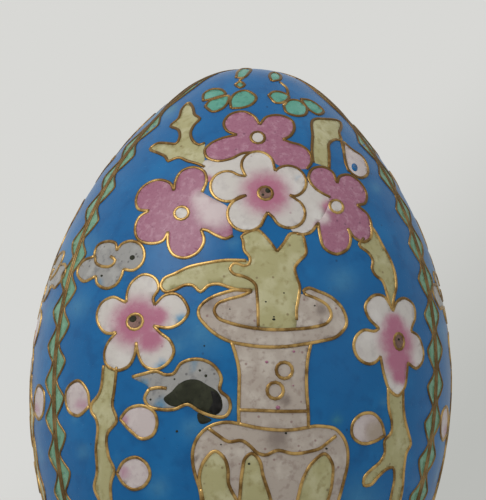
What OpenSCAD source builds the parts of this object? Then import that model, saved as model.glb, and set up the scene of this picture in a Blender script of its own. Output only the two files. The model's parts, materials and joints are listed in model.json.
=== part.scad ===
// Cloisonne enamel egg. Two spun copper cups are soldered together at the waist over a
// sleeve. Flat wire ribbons stand on the copper and draw the design, and the cells between
// them are filled with enamel. Three panels, each a third of the way round, carry the same
// drawing: a vase with a plum branch in blossom. The last panel is its mirror image.
// Millimetres, +Z up, origin at the centre of the face that the egg stands on. The first
// panel faces -Y.

/* [Egg] */
// Widest diameter, over the enamel
egg_w = 45; // [45:0.5:54]
// Height from the table to the tip
egg_h = 63.49; // [54:0.01:80]
// Height of the widest level, where the two cups meet
waist_h = 28.75; // [25:0.25:28.75]
// Radius of the round tip
tip_r = 12.3; // [10:0.1:15]
// Radius of the round underside
base_r = 21.25; // [18:0.05:21.25]

/* [Metal] */
// Wall of the spun copper cups
copper_t = 0.8; // [0.5:0.05:1.2]
// Height of the wire ribbons, from the copper to the polished surface
ribbon_h = 0.8; // [0.6:0.05:1.1]
// Width of a wire ribbon
wire_w = 0.35; // [0.25:0.05:0.45]
// How far the fired enamel lies below the edge of the wires
enamel_sink = 0.05; // [0.02:0.01:0.1]
// Height of the sleeve inside the waist
sleeve_h = 6; // [4:0.5:10]
// Wall of the sleeve
sleeve_t = 0.5; // [0.4:0.05:0.8]

/* [Foot] */
// Outside diameter of the foot ring
foot_d = 13; // [10:0.5:18]
// Width of the foot ring's face
foot_wall = 2; // [1:0.25:3]
// Rounding of the foot ring's outer edge
foot_edge_r = 0.4; // [0.2:0.05:0.6]
// Thickness of the plate inside the foot ring, at its centre
plate_t = 0.5; // [0.3:0.05:0.6]
// Clearance between the plate and the foot ring
plate_clearance = 0.05; // [0.02:0.01:0.1]
// Diameter of the hole that lets air out while the egg is fired
vent_d = 1.5; // [1:0.1:2]

/* [Border] */
// Distance between the scallops along a panel's edge
scallop_pitch = 3.7; // [3.6:0.1:5]
// How far a scallop reaches in from the edge between two panels
scallop_reach = 1.6; // [1.3:0.1:2.2]

/* [Flowers] */
// Radius of the small ring at the centre of a blossom
eye_r = 0.85; // [0.6:0.05:1]
// Width of a leaf divided by its length
leaf_slim = 0.62; // [0.45:0.01:0.8]

/* [Hidden] */
SIDES = ["front", "right", "left"];
PIECES = [
    "ground", "frame_wire", "scallop_wires", "scallop_enamel",
    "vase_wires", "vase_enamel", "branch_wires", "branch_enamel",
    "white_blossom_wires", "white_blossom_enamel", "pink_blossom_wires", "pink_blossom_enamel",
    "bud_wires", "bud_enamel", "leaf_wires", "leaf_enamel", "cloud_wires", "cloud_enamel",
];
METAL = ["upper_cup", "lower_cup", "waist_sleeve", "foot_ring", "foot_plate"];

COPPER = "#b8734a";
BRASS = "#b8924f";
GILT = "#cda349";
BLUE = "#1f64a5";
GREEN = "#6fb090";
CREAM = "#c8b9b9";
STRAW = "#b9b987";
WHITE = "#d9d2d4";
PINK = "#af6991";
GREY = "#a5a5af";

// Fine circles for the egg's own arcs, coarser ones for the drawing.
EGG_FN = 180;
CELL_FN = 30;
PANEL_TURN = 120;
PANEL_EDGE = 60;
// Nearly no gap: two neighbouring frame wires stand side by side.
FRAME_GAP = 0.06;

// The egg's outline is four arcs that meet without a corner. The flanks are worked out so
// that each touches the waist's vertical line and the arc of the tip or of the base. With
// the sizes above, both flanks' radii come out as short round numbers, so the arcs meet
// exactly after any tool has written them to six digits.
egg_r = egg_w / 2;
tip_z = egg_h - tip_r;
upper_rise = tip_z - waist_h;
upper_r = (egg_r * egg_r + upper_rise * upper_rise - tip_r * tip_r) / (2 * (egg_r - tip_r));
lower_drop = waist_h - base_r;
lower_r = (egg_r * egg_r + lower_drop * lower_drop - base_r * base_r) / (2 * (egg_r - base_r));
copper_depth = ribbon_h + copper_t;
foot_r = foot_d / 2;
plate_r = foot_r - foot_wall - plate_clearance;

// Heights where the flanks meet the tip and the base, at a depth below the surface.
function upper_join(depth) = tip_z + (tip_r - depth) * upper_rise / (upper_r - tip_r);
function lower_join(depth) = base_r - (base_r - depth) * lower_drop / (lower_r - base_r);

// Radius of the egg at a height.
function radius_at(z) =
    z > upper_join(0) ? sqrt(max(0, tip_r * tip_r - pow(z - tip_z, 2)))
    : z > waist_h ? egg_r - upper_r + sqrt(upper_r * upper_r - pow(z - waist_h, 2))
    : z > lower_join(0) ? egg_r - lower_r + sqrt(lower_r * lower_r - pow(z - waist_h, 2))
    : sqrt(max(0, base_r * base_r - pow(z - base_r, 2)));

// The drawing is given as a front elevation of one panel, [across, up], on an egg 45 wide
// and 63.5 high, and follows the egg's own size.
DRAWN_W = 45;
DRAWN_H = 63.5;
function scaled(p) = [p.x * egg_w / DRAWN_W, p.y * egg_h / DRAWN_H];
// A point of the elevation, seen square on from an angle round the egg.
function seen_from(p, turn) =
    let (q = scaled(p), r = radius_at(q.y), a = asin(q.x / r)) [r * sin(a - turn), q.y];

// What lies far round to a side is cut square on from there, so that its wires stand
// upright on the copper.
MIDDLE = 0;
LEFT = -36;
RIGHT = 36;

// Blossoms: the point of the eye, then the round petals as [across, up, radius].
CENTRE_BLOSSOM = [
    [0.6, 46.3, 2.3],
    [[-0.1, 49.4, 1.65], [3.1, 47.9, 1.75], [3.05, 44.4, 1.7], [-1.15, 43.9, 1.85], [-3.1, 46.9, 1.7]],
];
LEFT_BLOSSOM = [
    [-11.4, 32.7, 2.2],
    [[-10.9, 35.8, 1.45], [-7.9, 33.75, 1.5], [-9.3, 29.8, 1.55], [-12.7, 29.6, 1.5], [-13.7, 33.4, 1.65]],
];
RIGHT_BLOSSOM = [
    [14.5, 32.6, 2.3],
    [[12.4, 35.3, 1.45], [15.5, 35.4, 1.45], [16.8, 31.7, 1.6], [14.6, 28.9, 1.7], [11.5, 31.5, 1.6]],
];
TOP_BLOSSOM = [
    [-0.1, 52.7, 2.0],
    [[-2.0, 54.5, 1.55], [2.05, 54.2, 1.6], [3.8, 51.1, 1.6], [-3.8, 51.1, 1.5]],
];
WEST_BLOSSOM = [
    [-7.5, 43.9, 2.3],
    [[-10.3, 45.9, 1.85], [-6.8, 47.5, 1.6], [-10.4, 42.5, 1.75], [-6.95, 40.9, 1.75], [-4.4, 43.2, 1.7]],
];
EAST_BLOSSOM = [
    [8.0, 45.6, 2.3],
    [[6.7, 48.4, 1.6], [9.6, 47.8, 1.75], [10.2, 43.9, 1.65], [7.9, 42.1, 1.6], [5.2, 45.2, 1.5]],
];

// Buds and clouds are groups of round lobes, [across, up, radius].
LEFT_BUDS = [[-17.0, 25.1, 1.5], [-10.3, 22.3, 1.5], [-10.9, 17.8, 1.5]];
RIGHT_BUDS = [[11.8, 23.4, 1.5], [10.0, 51.6, 1.5]];
LEFT_CLOUD = [[-14.8, 39.8, 1.4], [-12.5, 39.4, 1.4], [-14.3, 37.8, 1.4], [-16.6, 38.5, 1.2]];
MIDDLE_CLOUD = [[-5.3, 26.6, 2.2], [-3.4, 25.0, 1.35], [-7.4, 25.7, 1.4], [-8.6, 25.7, 1.1]];

// Leaves: middle, length, and the way the tip points, in degrees from +X.
LEAVES = [
    [-4.8, 58.7, 2.6, 25], [-4.3, 57.1, 2.8, 35], [-1.5, 57.7, 3.0, 165],
    [2.0, 58.3, 2.6, 150], [3.9, 57.1, 2.6, 20], [5.9, 56.7, 2.4, 155],
];

// Stems of the plum branch, as outlines of the elevation.
TRUNK = [
    [0.2, 42.2], [-1.5, 41.4], [-1.2, 40], [-0.7, 38.7], [-1.9, 38.6], [-2.5, 38.1], [-2, 37.5],
    [-0.6, 37.1], [0.1, 36.2], [0.3, 34.5], [0.45, 32.4], [4.1, 32.4], [4.15, 34.3], [4.3, 36.4],
    [3.85, 38.5], [4.2, 39.3], [4.9, 40.3], [4.8, 42], [3.4, 42.2], [2, 40.2],
];
ARM = [
    [-1.6, 38.95], [-3, 38.9], [-5, 38.6], [-7.3, 37.7], [-8.6, 36.9], [-8.5, 36.1], [-6.7, 36.5],
    [-5.9, 36.3], [-5.2, 35.8], [-4.5, 36.3], [-3.4, 36.5], [-0.4, 36.1], [-0.4, 36.6],
    [-2.3, 37.1], [-2.9, 38.1],
];
TOP_LEFT_STEM = [
    [-7.3, 57.3], [-8.1, 55.8], [-9, 54.5], [-8.2, 53.8], [-8.2, 52.8], [-9.4, 52.4], [-10.8, 51.9],
    [-9.6, 50.9], [-8.6, 50.3], [-7.3, 50], [-5.4, 49.3], [-5.4, 52], [-6.6, 52.4], [-6.8, 54],
    [-6.2, 55.1], [-6.8, 56.4],
];
TOP_RIGHT_STEM = [
    [5.9, 56], [5.6, 53.5], [5.6, 50.4], [7.2, 50.4], [7.4, 53], [8.5, 54], [8.7, 55.8], [7.2, 56.1],
];
RIGHT_UPPER_STEM = [
    [12.2, 43.4], [10.9, 41.7], [11.6, 40.8], [11.8, 39.5], [12.7, 38.8], [13.4, 37.2], [14.1, 36.6],
    [14.4, 38.4], [14, 40.4], [13.1, 42],
];
LEFT_STEM = [
    [-13.1, 27.9], [-14.4, 27.9], [-14.8, 25.4], [-15.4, 24.6], [-15.4, 23.9], [-14.9, 23.2],
    [-14.7, 20], [-14.5, 17.8], [-14.8, 16.6], [-13.9, 14.8], [-13, 11.5], [-12.3, 11.8],
    [-12.8, 15.2], [-13, 17.2], [-12.7, 18], [-13.4, 19.5], [-13.6, 21.8], [-12.8, 22.8],
    [-13.3, 24.4], [-13.2, 26],
];
RIGHT_LOWER_STEM = [
    [15.5, 27], [13.9, 27], [14.3, 24.2], [14.2, 23.2], [13.7, 22.4], [13.7, 20.9], [12.5, 19.6],
    [11.8, 18.6], [12.1, 17.9], [13.3, 18.9], [14.6, 19.9], [14.9, 17.8], [14.3, 14], [13.2, 11],
    [13.9, 10.8], [15.4, 14.8], [16, 17.6], [16.1, 20.4], [16.5, 22.6], [15.9, 24.7],
];

// The vase in front elevation: an oval mouth, a neck, a collar and a body on a small foot.
MOUTH = [1.85, 33.4];
MOUTH_RX = 7.2;
MOUTH_RZ = 2.9;
MOUTH_INNER = [1.85, 34];
MOUTH_INNER_RX = 5.6;
MOUTH_INNER_RZ = 1.75;
NECK = [[-2, 31.2], [-1.3, 28.3], [-1.2, 24.4], [5.7, 24.4], [5.5, 28.3], [5.9, 31.4]];
COLLAR = [[-1, 24.4], [-1, 22.9], [5.7, 22.9], [5.7, 24.4]];
BODY = [
    [-3.4, 22.9], [-4.5, 22.1], [-5.1, 20.9], [-5.2, 19.2], [-4.3, 16], [-2.9, 12.5], [-2.3, 10.2],
    [-2.9, 8.6], [7.4, 8.6], [6.8, 10.2], [7.4, 12.5], [8.9, 16], [9.8, 19.2], [9.7, 21],
    [9.1, 22.1], [7.9, 22.9],
];
// The edge that parts the shoulder from the lower body dips and rises.
SHOULDER_EDGE = [[-6, 23.5], [-3.6, 22.3], [-2.2, 21.2], [-0.6, 21.3], [0.8, 20.4], [3, 20.6], [6.8, 20.8], [8.6, 22.4], [11, 24]];
// Tall leaves painted on the lower body.
VASE_LEAVES = [
    [[-3.9, 19.4], [-3, 20.2], [-2.1, 19.3], [-1.6, 17.4], [-1.5, 14.5], [-2.2, 12.2], [-3.4, 15.5], [-4.1, 17.6]],
    [[-0.4, 19.2], [0.3, 19.9], [1, 19.3], [2.2, 16.6], [2.7, 13.6], [2, 11.2], [0.4, 11.2], [-0.3, 14]],
    [[6.2, 19.2], [7.5, 20.3], [8.2, 19], [8.1, 16.6], [6.9, 13.4], [5.8, 11.6], [4.9, 13.6], [5.3, 16.8]],
];
VASE_TURN = 5;

// --- Drawing ----------------------------------------------------------------------------

function unit(v) = v / norm(v);
function side_of(a, b) = let (d = unit(b - a)) [d.y, -d.x];
// A closed outline moved out by a distance, corner by corner. It runs anticlockwise, or
// turned is -1.
function moved_out(pts, by, turned = 1) = [
    for (i = [0:len(pts) - 1])
        let (
            before = pts[(i + len(pts) - 1) % len(pts)],
            after = pts[(i + 1) % len(pts)],
            n1 = side_of(before, pts[i]),
            n2 = side_of(pts[i], after)
        )
        pts[i] + turned * by * (n1 + n2) / max(0.7, 1 + n1 * n2)
];
function outline_at(pts, turn) = [for (p = pts) seen_from(p, turn)];
// Twice the area of an outline, negative when it runs clockwise.
function spin_of(pts, i = 0) =
    i == len(pts) ? 0
    : let (p = pts[i], q = pts[(i + 1) % len(pts)]) p.x * q.y - q.x * p.y + spin_of(pts, i + 1);

module drawn(pts, turn, grow) {
    placed = outline_at(pts, turn);
    polygon(moved_out(placed, grow, sign(spin_of(placed))));
}

module lobes(list, turn, grow) {
    for (lobe = list)
        translate(seen_from(lobe, turn))
            circle(lobe[2] + grow, $fn = CELL_FN);
}

module blossom(flower, turn, grow) {
    lobes(flower[1], turn, grow);
    lobes([flower[0]], turn, grow);
}

// A pointed leaf: what two circles have in common.
module leaf(spec, turn, grow) {
    half = spec[2] / 2;
    width = half * leaf_slim;
    r = (half * half + width * width) / (2 * width);
    translate(seen_from(spec, turn))
        rotate(spec[3])
            intersection() {
                translate([0, r - width])
                    circle(r + grow, $fn = 2 * CELL_FN);
                translate([0, width - r])
                    circle(r + grow, $fn = 2 * CELL_FN);
            }
}

module leaves(grow) {
    for (spec = LEAVES)
        leaf(spec, MIDDLE, grow);
}

// An oval as an outline whose corners follow the ellipse's formula.
module oval(middle, rx, rz, grow) {
    place = seen_from(middle, VASE_TURN);
    polygon([for (a = [0:12:348]) place + [(rx + grow) * cos(a), (rz + grow) * sin(a)]]);
}

module middle_white(grow) blossom(CENTRE_BLOSSOM, MIDDLE, grow);

module middle_pink(grow) {
    for (flower = [TOP_BLOSSOM, WEST_BLOSSOM, EAST_BLOSSOM])
        blossom(flower, MIDDLE, grow);
}

module middle_stems(grow) {
    for (stem = [TRUNK, ARM, TOP_LEFT_STEM, TOP_RIGHT_STEM])
        drawn(stem, MIDDLE, grow);
}

module vase_outline(grow) {
    oval(MOUTH, MOUTH_RX, MOUTH_RZ, grow);
    for (cell = [NECK, COLLAR, BODY])
        drawn(cell, VASE_TURN, grow);
}

// Everything of the vase that wires stand on: cell outlines, and the leaves on the body.
module vase_cells() {
    edge = -wire_w / 2;
    difference() {
        oval(MOUTH, MOUTH_RX, MOUTH_RZ, edge);
        oval(MOUTH_INNER, MOUTH_INNER_RX, MOUTH_INNER_RZ, wire_w / 2);
    }
    oval(MOUTH_INNER, MOUTH_INNER_RX, MOUTH_INNER_RZ, edge);
    difference() {
        drawn(NECK, VASE_TURN, edge);
        oval(MOUTH, MOUTH_RX, MOUTH_RZ, wire_w / 2);
    }
    drawn(COLLAR, VASE_TURN, edge);
    difference() {
        drawn(BODY, VASE_TURN, edge);
        shoulder_line();
        vase_leaves(wire_w / 2);
    }
    vase_leaves(edge);
}

module shoulder_line() {
    line = outline_at(SHOULDER_EDGE, VASE_TURN);
    half = wire_w / 2;
    polygon(concat(
        [for (p = line) p + [0, half]],
        [for (i = [len(line) - 1:-1:0]) line[i] - [0, half]]
    ));
}

module vase_leaves(grow) {
    for (cell = VASE_LEAVES)
        drawn(cell, VASE_TURN, grow);
}

// --- Placing on the egg -----------------------------------------------------------------

module panel(side) {
    rotate([0, 0, PANEL_TURN * side])
        mirror([side == 2 ? 1 : 0, 0, 0])
            children();
}

// The half outline of the egg, at a depth below its surface.
module half_outline(depth) {
    intersection() {
        translate([0, tip_z])
            circle(tip_r - depth, $fn = EGG_FN);
        translate([0, upper_join(depth)])
            square([egg_r, egg_h]);
    }
    intersection() {
        translate([egg_r - upper_r, waist_h])
            circle(upper_r - depth, $fn = 2 * EGG_FN);
        translate([0, waist_h])
            square([egg_r, upper_join(depth) - waist_h]);
    }
    intersection() {
        translate([egg_r - lower_r, waist_h])
            circle(lower_r - depth, $fn = 2 * EGG_FN);
        translate([0, lower_join(depth)])
            square([egg_r, waist_h - lower_join(depth)]);
    }
    intersection() {
        translate([0, base_r])
            circle(base_r - depth, $fn = EGG_FN);
        square([egg_r, lower_join(depth)]);
    }
}

// A skin of the egg between two depths, open over the foot.
module skin(outer, inner) {
    rotate_extrude($fn = EGG_FN)
        difference() {
            half_outline(outer);
            half_outline(inner);
            square([foot_r, waist_h]);
        }
}

// A prism that cuts straight in from an angle round the egg.
module cut_from(turn) {
    rotate([90, 0, turn])
        linear_extrude(egg_r + 1)
            children();
}

// What a prism leaves of the wires' layer or of the enamel's layer.
module ribbon(turn) {
    intersection() {
        skin(0, ribbon_h);
        cut_from(turn) children();
    }
}

module fill(turn) {
    intersection() {
        skin(enamel_sink, ribbon_h);
        cut_from(turn) children();
    }
}

// The wedge of one panel, its edges a distance inside the planes between the panels.
module wedge(inset) {
    reach = 2 * egg_r;
    side_x = reach * sin(PANEL_EDGE);
    side_y = reach * cos(PANEL_EDGE);
    translate([0, -inset / sin(PANEL_EDGE), 0])
        linear_extrude(egg_h)
            polygon([[0, 0], [-side_x, -side_y], [side_x, -side_y]]);
}

frame_inset = FRAME_GAP / 2 + wire_w;
// Half the height of a scallop.
SCALLOP_HALF = 1.75;
// The border is drawn between these heights. The scallops on the right sit a little lower.
FIRST_SCALLOP = 6.9;
RIGHT_DROP = 0.7;
last_scallop = egg_h * 0.85;

// Scallops along an edge of a panel, from the frame wire inward.
module scallops_of(edge, grow) {
    for (z = [FIRST_SCALLOP - (edge > 0 ? RIGHT_DROP : 0):scallop_pitch:last_scallop]) {
        tooth = [
            [frame_inset, -SCALLOP_HALF], [scallop_reach - 0.25, -0.75], [scallop_reach, -0.1],
            [scallop_reach - 0.2, 0.5], [frame_inset, SCALLOP_HALF],
        ];
        placed = [for (p = tooth) [-edge * p.x, z + p.y]];
        polygon(moved_out(placed, grow, sign(spin_of(placed))));
    }
}

module scallop_cut(edge, grow) {
    cut_from(edge * PANEL_EDGE) scallops_of(edge, grow);
}

// --- Metal ------------------------------------------------------------------------------

module cup(from, to) {
    color(COPPER)
        difference() {
            rotate_extrude($fn = EGG_FN)
                intersection() {
                    difference() {
                        half_outline(ribbon_h);
                        half_outline(copper_depth);
                    }
                    translate([0, from])
                        square([egg_r, to - from]);
                }
            cylinder(d = vent_d, h = waist_h, $fn = CELL_FN);
        }
}

module upper_cup() cup(waist_h, egg_h);

module lower_cup() cup(0, waist_h);

module waist_sleeve() {
    color(COPPER)
        rotate_extrude($fn = EGG_FN)
            intersection() {
                difference() {
                    half_outline(copper_depth);
                    half_outline(copper_depth + sleeve_t);
                }
                translate([0, waist_h - sleeve_h / 2])
                    square([egg_r, sleeve_h]);
            }
}

module foot_ring() {
    color(GILT)
        rotate_extrude($fn = EGG_FN)
            difference() {
                union() {
                    translate([foot_r - foot_wall, 0])
                        square([foot_wall - foot_edge_r, base_r]);
                    translate([foot_r - foot_edge_r, foot_edge_r])
                        circle(foot_edge_r, $fn = 2 * CELL_FN);
                    translate([foot_r - foot_wall, foot_edge_r])
                        square([foot_wall, base_r]);
                }
                half_outline(ribbon_h);
                translate([0, base_r / 2])
                    square([egg_r, egg_r]);
            }
}

module foot_plate() {
    color(GILT)
        difference() {
            rotate_extrude($fn = EGG_FN)
                difference() {
                    translate([0, ribbon_h - plate_t])
                        square([plate_r, 2 * plate_t]);
                    half_outline(ribbon_h);
                }
            cylinder(d = vent_d, h = base_r, $fn = CELL_FN);
        }
}

// --- One panel --------------------------------------------------------------------------

half_w = wire_w / 2;

module frame_wire() {
    color(BRASS)
        intersection() {
            skin(0, ribbon_h);
            difference() {
                wedge(FRAME_GAP / 2);
                difference() {
                    wedge(frame_inset);
                    cylinder(r = foot_r + wire_w, h = base_r, $fn = EGG_FN);
                }
            }
        }
}

module ground() {
    color(BLUE)
        difference() {
            intersection() {
                skin(enamel_sink, ribbon_h);
                wedge(frame_inset);
            }
            cylinder(r = foot_r + wire_w, h = base_r, $fn = EGG_FN);
            scallop_cut(-1, 0);
            scallop_cut(1, 0);
            cut_from(MIDDLE) {
                middle_white(half_w);
                middle_pink(half_w);
                middle_stems(half_w);
                leaves(half_w);
                lobes(MIDDLE_CLOUD, MIDDLE, half_w);
            }
            cut_from(VASE_TURN) vase_outline(half_w);
            cut_from(LEFT) {
                blossom(LEFT_BLOSSOM, LEFT, half_w);
                drawn(LEFT_STEM, LEFT, half_w);
                lobes(concat(LEFT_BUDS, LEFT_CLOUD), LEFT, half_w);
            }
            cut_from(RIGHT) {
                blossom(RIGHT_BLOSSOM, RIGHT, half_w);
                drawn(RIGHT_UPPER_STEM, RIGHT, half_w);
                drawn(RIGHT_LOWER_STEM, RIGHT, half_w);
                lobes(RIGHT_BUDS, RIGHT, half_w);
            }
        }
}

module scallop_wires() {
    color(BRASS)
        for (edge = [-1, 1])
            ribbon(edge * PANEL_EDGE)
                difference() {
                    scallops_of(edge, 0);
                    scallops_of(edge, -wire_w);
                }
}

module scallop_enamel() {
    color(GREEN)
        for (edge = [-1, 1])
            fill(edge * PANEL_EDGE)
                scallops_of(edge, -wire_w);
}

// Blossoms have a wire round the petals, and a small ring of wire for the eye.
module flower_wires(flower, turn) {
    difference() {
        blossom(flower, turn, half_w);
        blossom(flower, turn, -half_w);
    }
    translate(seen_from(flower[0], turn))
        difference() {
            circle(eye_r, $fn = CELL_FN);
            circle(eye_r - wire_w, $fn = CELL_FN);
        }
}

module flower_fill(flower, turn) {
    difference() {
        blossom(flower, turn, -half_w);
        translate(seen_from(flower[0], turn))
            circle(eye_r, $fn = CELL_FN);
    }
    translate(seen_from(flower[0], turn))
        circle(eye_r - wire_w, $fn = CELL_FN);
}

module white_blossom_wires() {
    color(BRASS) {
        ribbon(MIDDLE) flower_wires(CENTRE_BLOSSOM, MIDDLE);
        ribbon(LEFT) flower_wires(LEFT_BLOSSOM, LEFT);
        ribbon(RIGHT) flower_wires(RIGHT_BLOSSOM, RIGHT);
    }
}

module white_blossom_enamel() {
    color(WHITE) {
        fill(MIDDLE) flower_fill(CENTRE_BLOSSOM, MIDDLE);
        fill(LEFT) flower_fill(LEFT_BLOSSOM, LEFT);
        fill(RIGHT) flower_fill(RIGHT_BLOSSOM, RIGHT);
    }
}

module pink_blossom_wires() {
    color(BRASS)
        ribbon(MIDDLE)
            difference() {
                for (flower = [TOP_BLOSSOM, WEST_BLOSSOM, EAST_BLOSSOM])
                    flower_wires(flower, MIDDLE);
                middle_white(half_w);
            }
}

module pink_blossom_enamel() {
    color(PINK)
        fill(MIDDLE)
            difference() {
                for (flower = [TOP_BLOSSOM, WEST_BLOSSOM, EAST_BLOSSOM])
                    flower_fill(flower, MIDDLE);
                middle_white(half_w);
            }
}

// The stems run behind the flowers, and the trunk stands in front of the vase.
module stem_wires(stem, turn) {
    difference() {
        drawn(stem, turn, half_w);
        drawn(stem, turn, -half_w);
    }
}

module branch_wires() {
    color(BRASS) {
        ribbon(MIDDLE)
            difference() {
                middle_stems(half_w);
                middle_stems(-half_w);
                middle_white(half_w);
                middle_pink(half_w);
                leaves(half_w);
            }
        ribbon(LEFT)
            difference() {
                stem_wires(LEFT_STEM, LEFT);
                blossom(LEFT_BLOSSOM, LEFT, half_w);
                lobes(LEFT_BUDS, LEFT, half_w);
            }
        difference() {
            ribbon(RIGHT)
                difference() {
                    stem_wires(RIGHT_UPPER_STEM, RIGHT);
                    blossom(RIGHT_BLOSSOM, RIGHT, half_w);
                }
            cut_from(MIDDLE) blossom(EAST_BLOSSOM, MIDDLE, half_w);
        }
        ribbon(RIGHT)
            difference() {
                stem_wires(RIGHT_LOWER_STEM, RIGHT);
                blossom(RIGHT_BLOSSOM, RIGHT, half_w);
                lobes(RIGHT_BUDS, RIGHT, half_w);
            }
    }
}

module branch_enamel() {
    color(STRAW) {
        fill(MIDDLE)
            difference() {
                middle_stems(-half_w);
                middle_white(half_w);
                middle_pink(half_w);
                leaves(half_w);
            }
        fill(LEFT)
            difference() {
                drawn(LEFT_STEM, LEFT, -half_w);
                blossom(LEFT_BLOSSOM, LEFT, half_w);
                lobes(LEFT_BUDS, LEFT, half_w);
            }
        difference() {
            fill(RIGHT)
                difference() {
                    drawn(RIGHT_UPPER_STEM, RIGHT, -half_w);
                    blossom(RIGHT_BLOSSOM, RIGHT, half_w);
                }
            cut_from(MIDDLE) blossom(EAST_BLOSSOM, MIDDLE, half_w);
        }
        fill(RIGHT)
            difference() {
                drawn(RIGHT_LOWER_STEM, RIGHT, -half_w);
                blossom(RIGHT_BLOSSOM, RIGHT, half_w);
                lobes(RIGHT_BUDS, RIGHT, half_w);
            }
    }
}

module bud_wires() {
    color(BRASS) {
        ribbon(LEFT)
            difference() {
                lobes(LEFT_BUDS, LEFT, half_w);
                lobes(LEFT_BUDS, LEFT, -half_w);
            }
        ribbon(RIGHT)
            difference() {
                lobes(RIGHT_BUDS, RIGHT, half_w);
                lobes(RIGHT_BUDS, RIGHT, -half_w);
            }
    }
}

module bud_enamel() {
    color(WHITE) {
        fill(LEFT) lobes(LEFT_BUDS, LEFT, -half_w);
        fill(RIGHT) lobes(RIGHT_BUDS, RIGHT, -half_w);
    }
}

module leaf_wires() {
    color(BRASS)
        ribbon(MIDDLE)
            difference() {
                leaves(half_w);
                leaves(-half_w);
            }
}

module leaf_enamel() {
    color(GREEN)
        fill(MIDDLE) leaves(-half_w);
}

module cloud_wires() {
    color(BRASS) {
        ribbon(LEFT)
            difference() {
                lobes(LEFT_CLOUD, LEFT, half_w);
                lobes(LEFT_CLOUD, LEFT, -half_w);
            }
        ribbon(MIDDLE)
            difference() {
                lobes(MIDDLE_CLOUD, MIDDLE, half_w);
                lobes(MIDDLE_CLOUD, MIDDLE, -half_w);
            }
    }
}

module cloud_enamel() {
    color(GREY) {
        fill(LEFT) lobes(LEFT_CLOUD, LEFT, -half_w);
        fill(MIDDLE) lobes(MIDDLE_CLOUD, MIDDLE, -half_w);
    }
}

module vase_wires() {
    color(BRASS)
        difference() {
            ribbon(VASE_TURN)
                difference() {
                    vase_outline(half_w);
                    vase_cells();
                }
            cut_from(MIDDLE) middle_stems(half_w);
        }
}

module vase_enamel() {
    color(CREAM)
        difference() {
            fill(VASE_TURN) vase_cells();
            cut_from(MIDDLE) middle_stems(half_w);
        }
}

module piece_of_panel(piece) {
    if (piece == "ground") ground();
    if (piece == "frame_wire") frame_wire();
    if (piece == "scallop_wires") scallop_wires();
    if (piece == "scallop_enamel") scallop_enamel();
    if (piece == "vase_wires") vase_wires();
    if (piece == "vase_enamel") vase_enamel();
    if (piece == "branch_wires") branch_wires();
    if (piece == "branch_enamel") branch_enamel();
    if (piece == "white_blossom_wires") white_blossom_wires();
    if (piece == "white_blossom_enamel") white_blossom_enamel();
    if (piece == "pink_blossom_wires") pink_blossom_wires();
    if (piece == "pink_blossom_enamel") pink_blossom_enamel();
    if (piece == "bud_wires") bud_wires();
    if (piece == "bud_enamel") bud_enamel();
    if (piece == "leaf_wires") leaf_wires();
    if (piece == "leaf_enamel") leaf_enamel();
    if (piece == "cloud_wires") cloud_wires();
    if (piece == "cloud_enamel") cloud_enamel();
}

upper_cup();
lower_cup();
waist_sleeve();
foot_ring();
foot_plate();
for (side = [0:len(SIDES) - 1])
    for (piece = PIECES)
        panel(side) piece_of_panel(piece);
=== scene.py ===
# %% [markdown]
# # A cloisonne egg
# A cloisonne egg is a copper shell with flat wires standing on it. Glass powder is fired
# between the wires and the whole is ground smooth. Here the imported model gives the copper
# shell, the foot and the sizes. The wires and the glass are drawn anew as flowing lines and
# pads on the same surface. The work starts by loading the frame and counting its nodes.

# %% Load the frame
import json
import math
import bmesh
import bpy
from mathutils import Matrix, Vector

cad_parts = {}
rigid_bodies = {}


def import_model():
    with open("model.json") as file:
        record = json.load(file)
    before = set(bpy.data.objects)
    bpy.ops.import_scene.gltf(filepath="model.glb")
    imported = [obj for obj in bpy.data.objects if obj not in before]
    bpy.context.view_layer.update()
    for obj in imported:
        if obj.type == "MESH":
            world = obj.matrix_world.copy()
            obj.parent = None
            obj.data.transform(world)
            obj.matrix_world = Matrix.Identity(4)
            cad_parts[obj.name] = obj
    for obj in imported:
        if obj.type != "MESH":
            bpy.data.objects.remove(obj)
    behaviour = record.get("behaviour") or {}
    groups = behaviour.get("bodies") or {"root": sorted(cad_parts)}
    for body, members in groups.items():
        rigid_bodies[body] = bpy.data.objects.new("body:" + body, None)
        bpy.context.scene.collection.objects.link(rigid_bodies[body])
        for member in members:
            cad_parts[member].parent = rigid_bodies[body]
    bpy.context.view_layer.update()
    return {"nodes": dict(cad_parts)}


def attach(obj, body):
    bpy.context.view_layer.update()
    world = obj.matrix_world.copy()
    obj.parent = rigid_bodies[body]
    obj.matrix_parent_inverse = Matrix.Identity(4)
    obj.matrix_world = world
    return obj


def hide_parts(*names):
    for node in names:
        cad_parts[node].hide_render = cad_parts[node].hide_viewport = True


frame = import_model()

print("nodes in the frame:", len(frame["nodes"]))

# %% [markdown]
# ## The shape of the egg
# The egg is turned from four arcs: the round tip, the upper flank, the lower flank and the
# round base. Each touches the next without a corner. Everything that is drawn later lies on
# this surface, so one function gives the radius at a height and one gives the direction
# that the surface faces. All drawing is in millimetres and becomes metres at the end.

# %% The egg's outline
EGG_R, EGG_H, WAIST = 22.5, 63.49, 28.75
TIP_R, BASE_R = 12.3, 21.25
TIP_Z = EGG_H - TIP_R
RISE, DROP = TIP_Z - WAIST, WAIST - BASE_R
UPPER_R = (EGG_R ** 2 + RISE ** 2 - TIP_R ** 2) / (2 * (EGG_R - TIP_R))
LOWER_R = (EGG_R ** 2 + DROP ** 2 - BASE_R ** 2) / (2 * (EGG_R - BASE_R))
TIP_JOIN = TIP_Z + TIP_R * RISE / (UPPER_R - TIP_R)
BASE_JOIN = BASE_R - BASE_R * DROP / (LOWER_R - BASE_R)


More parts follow.
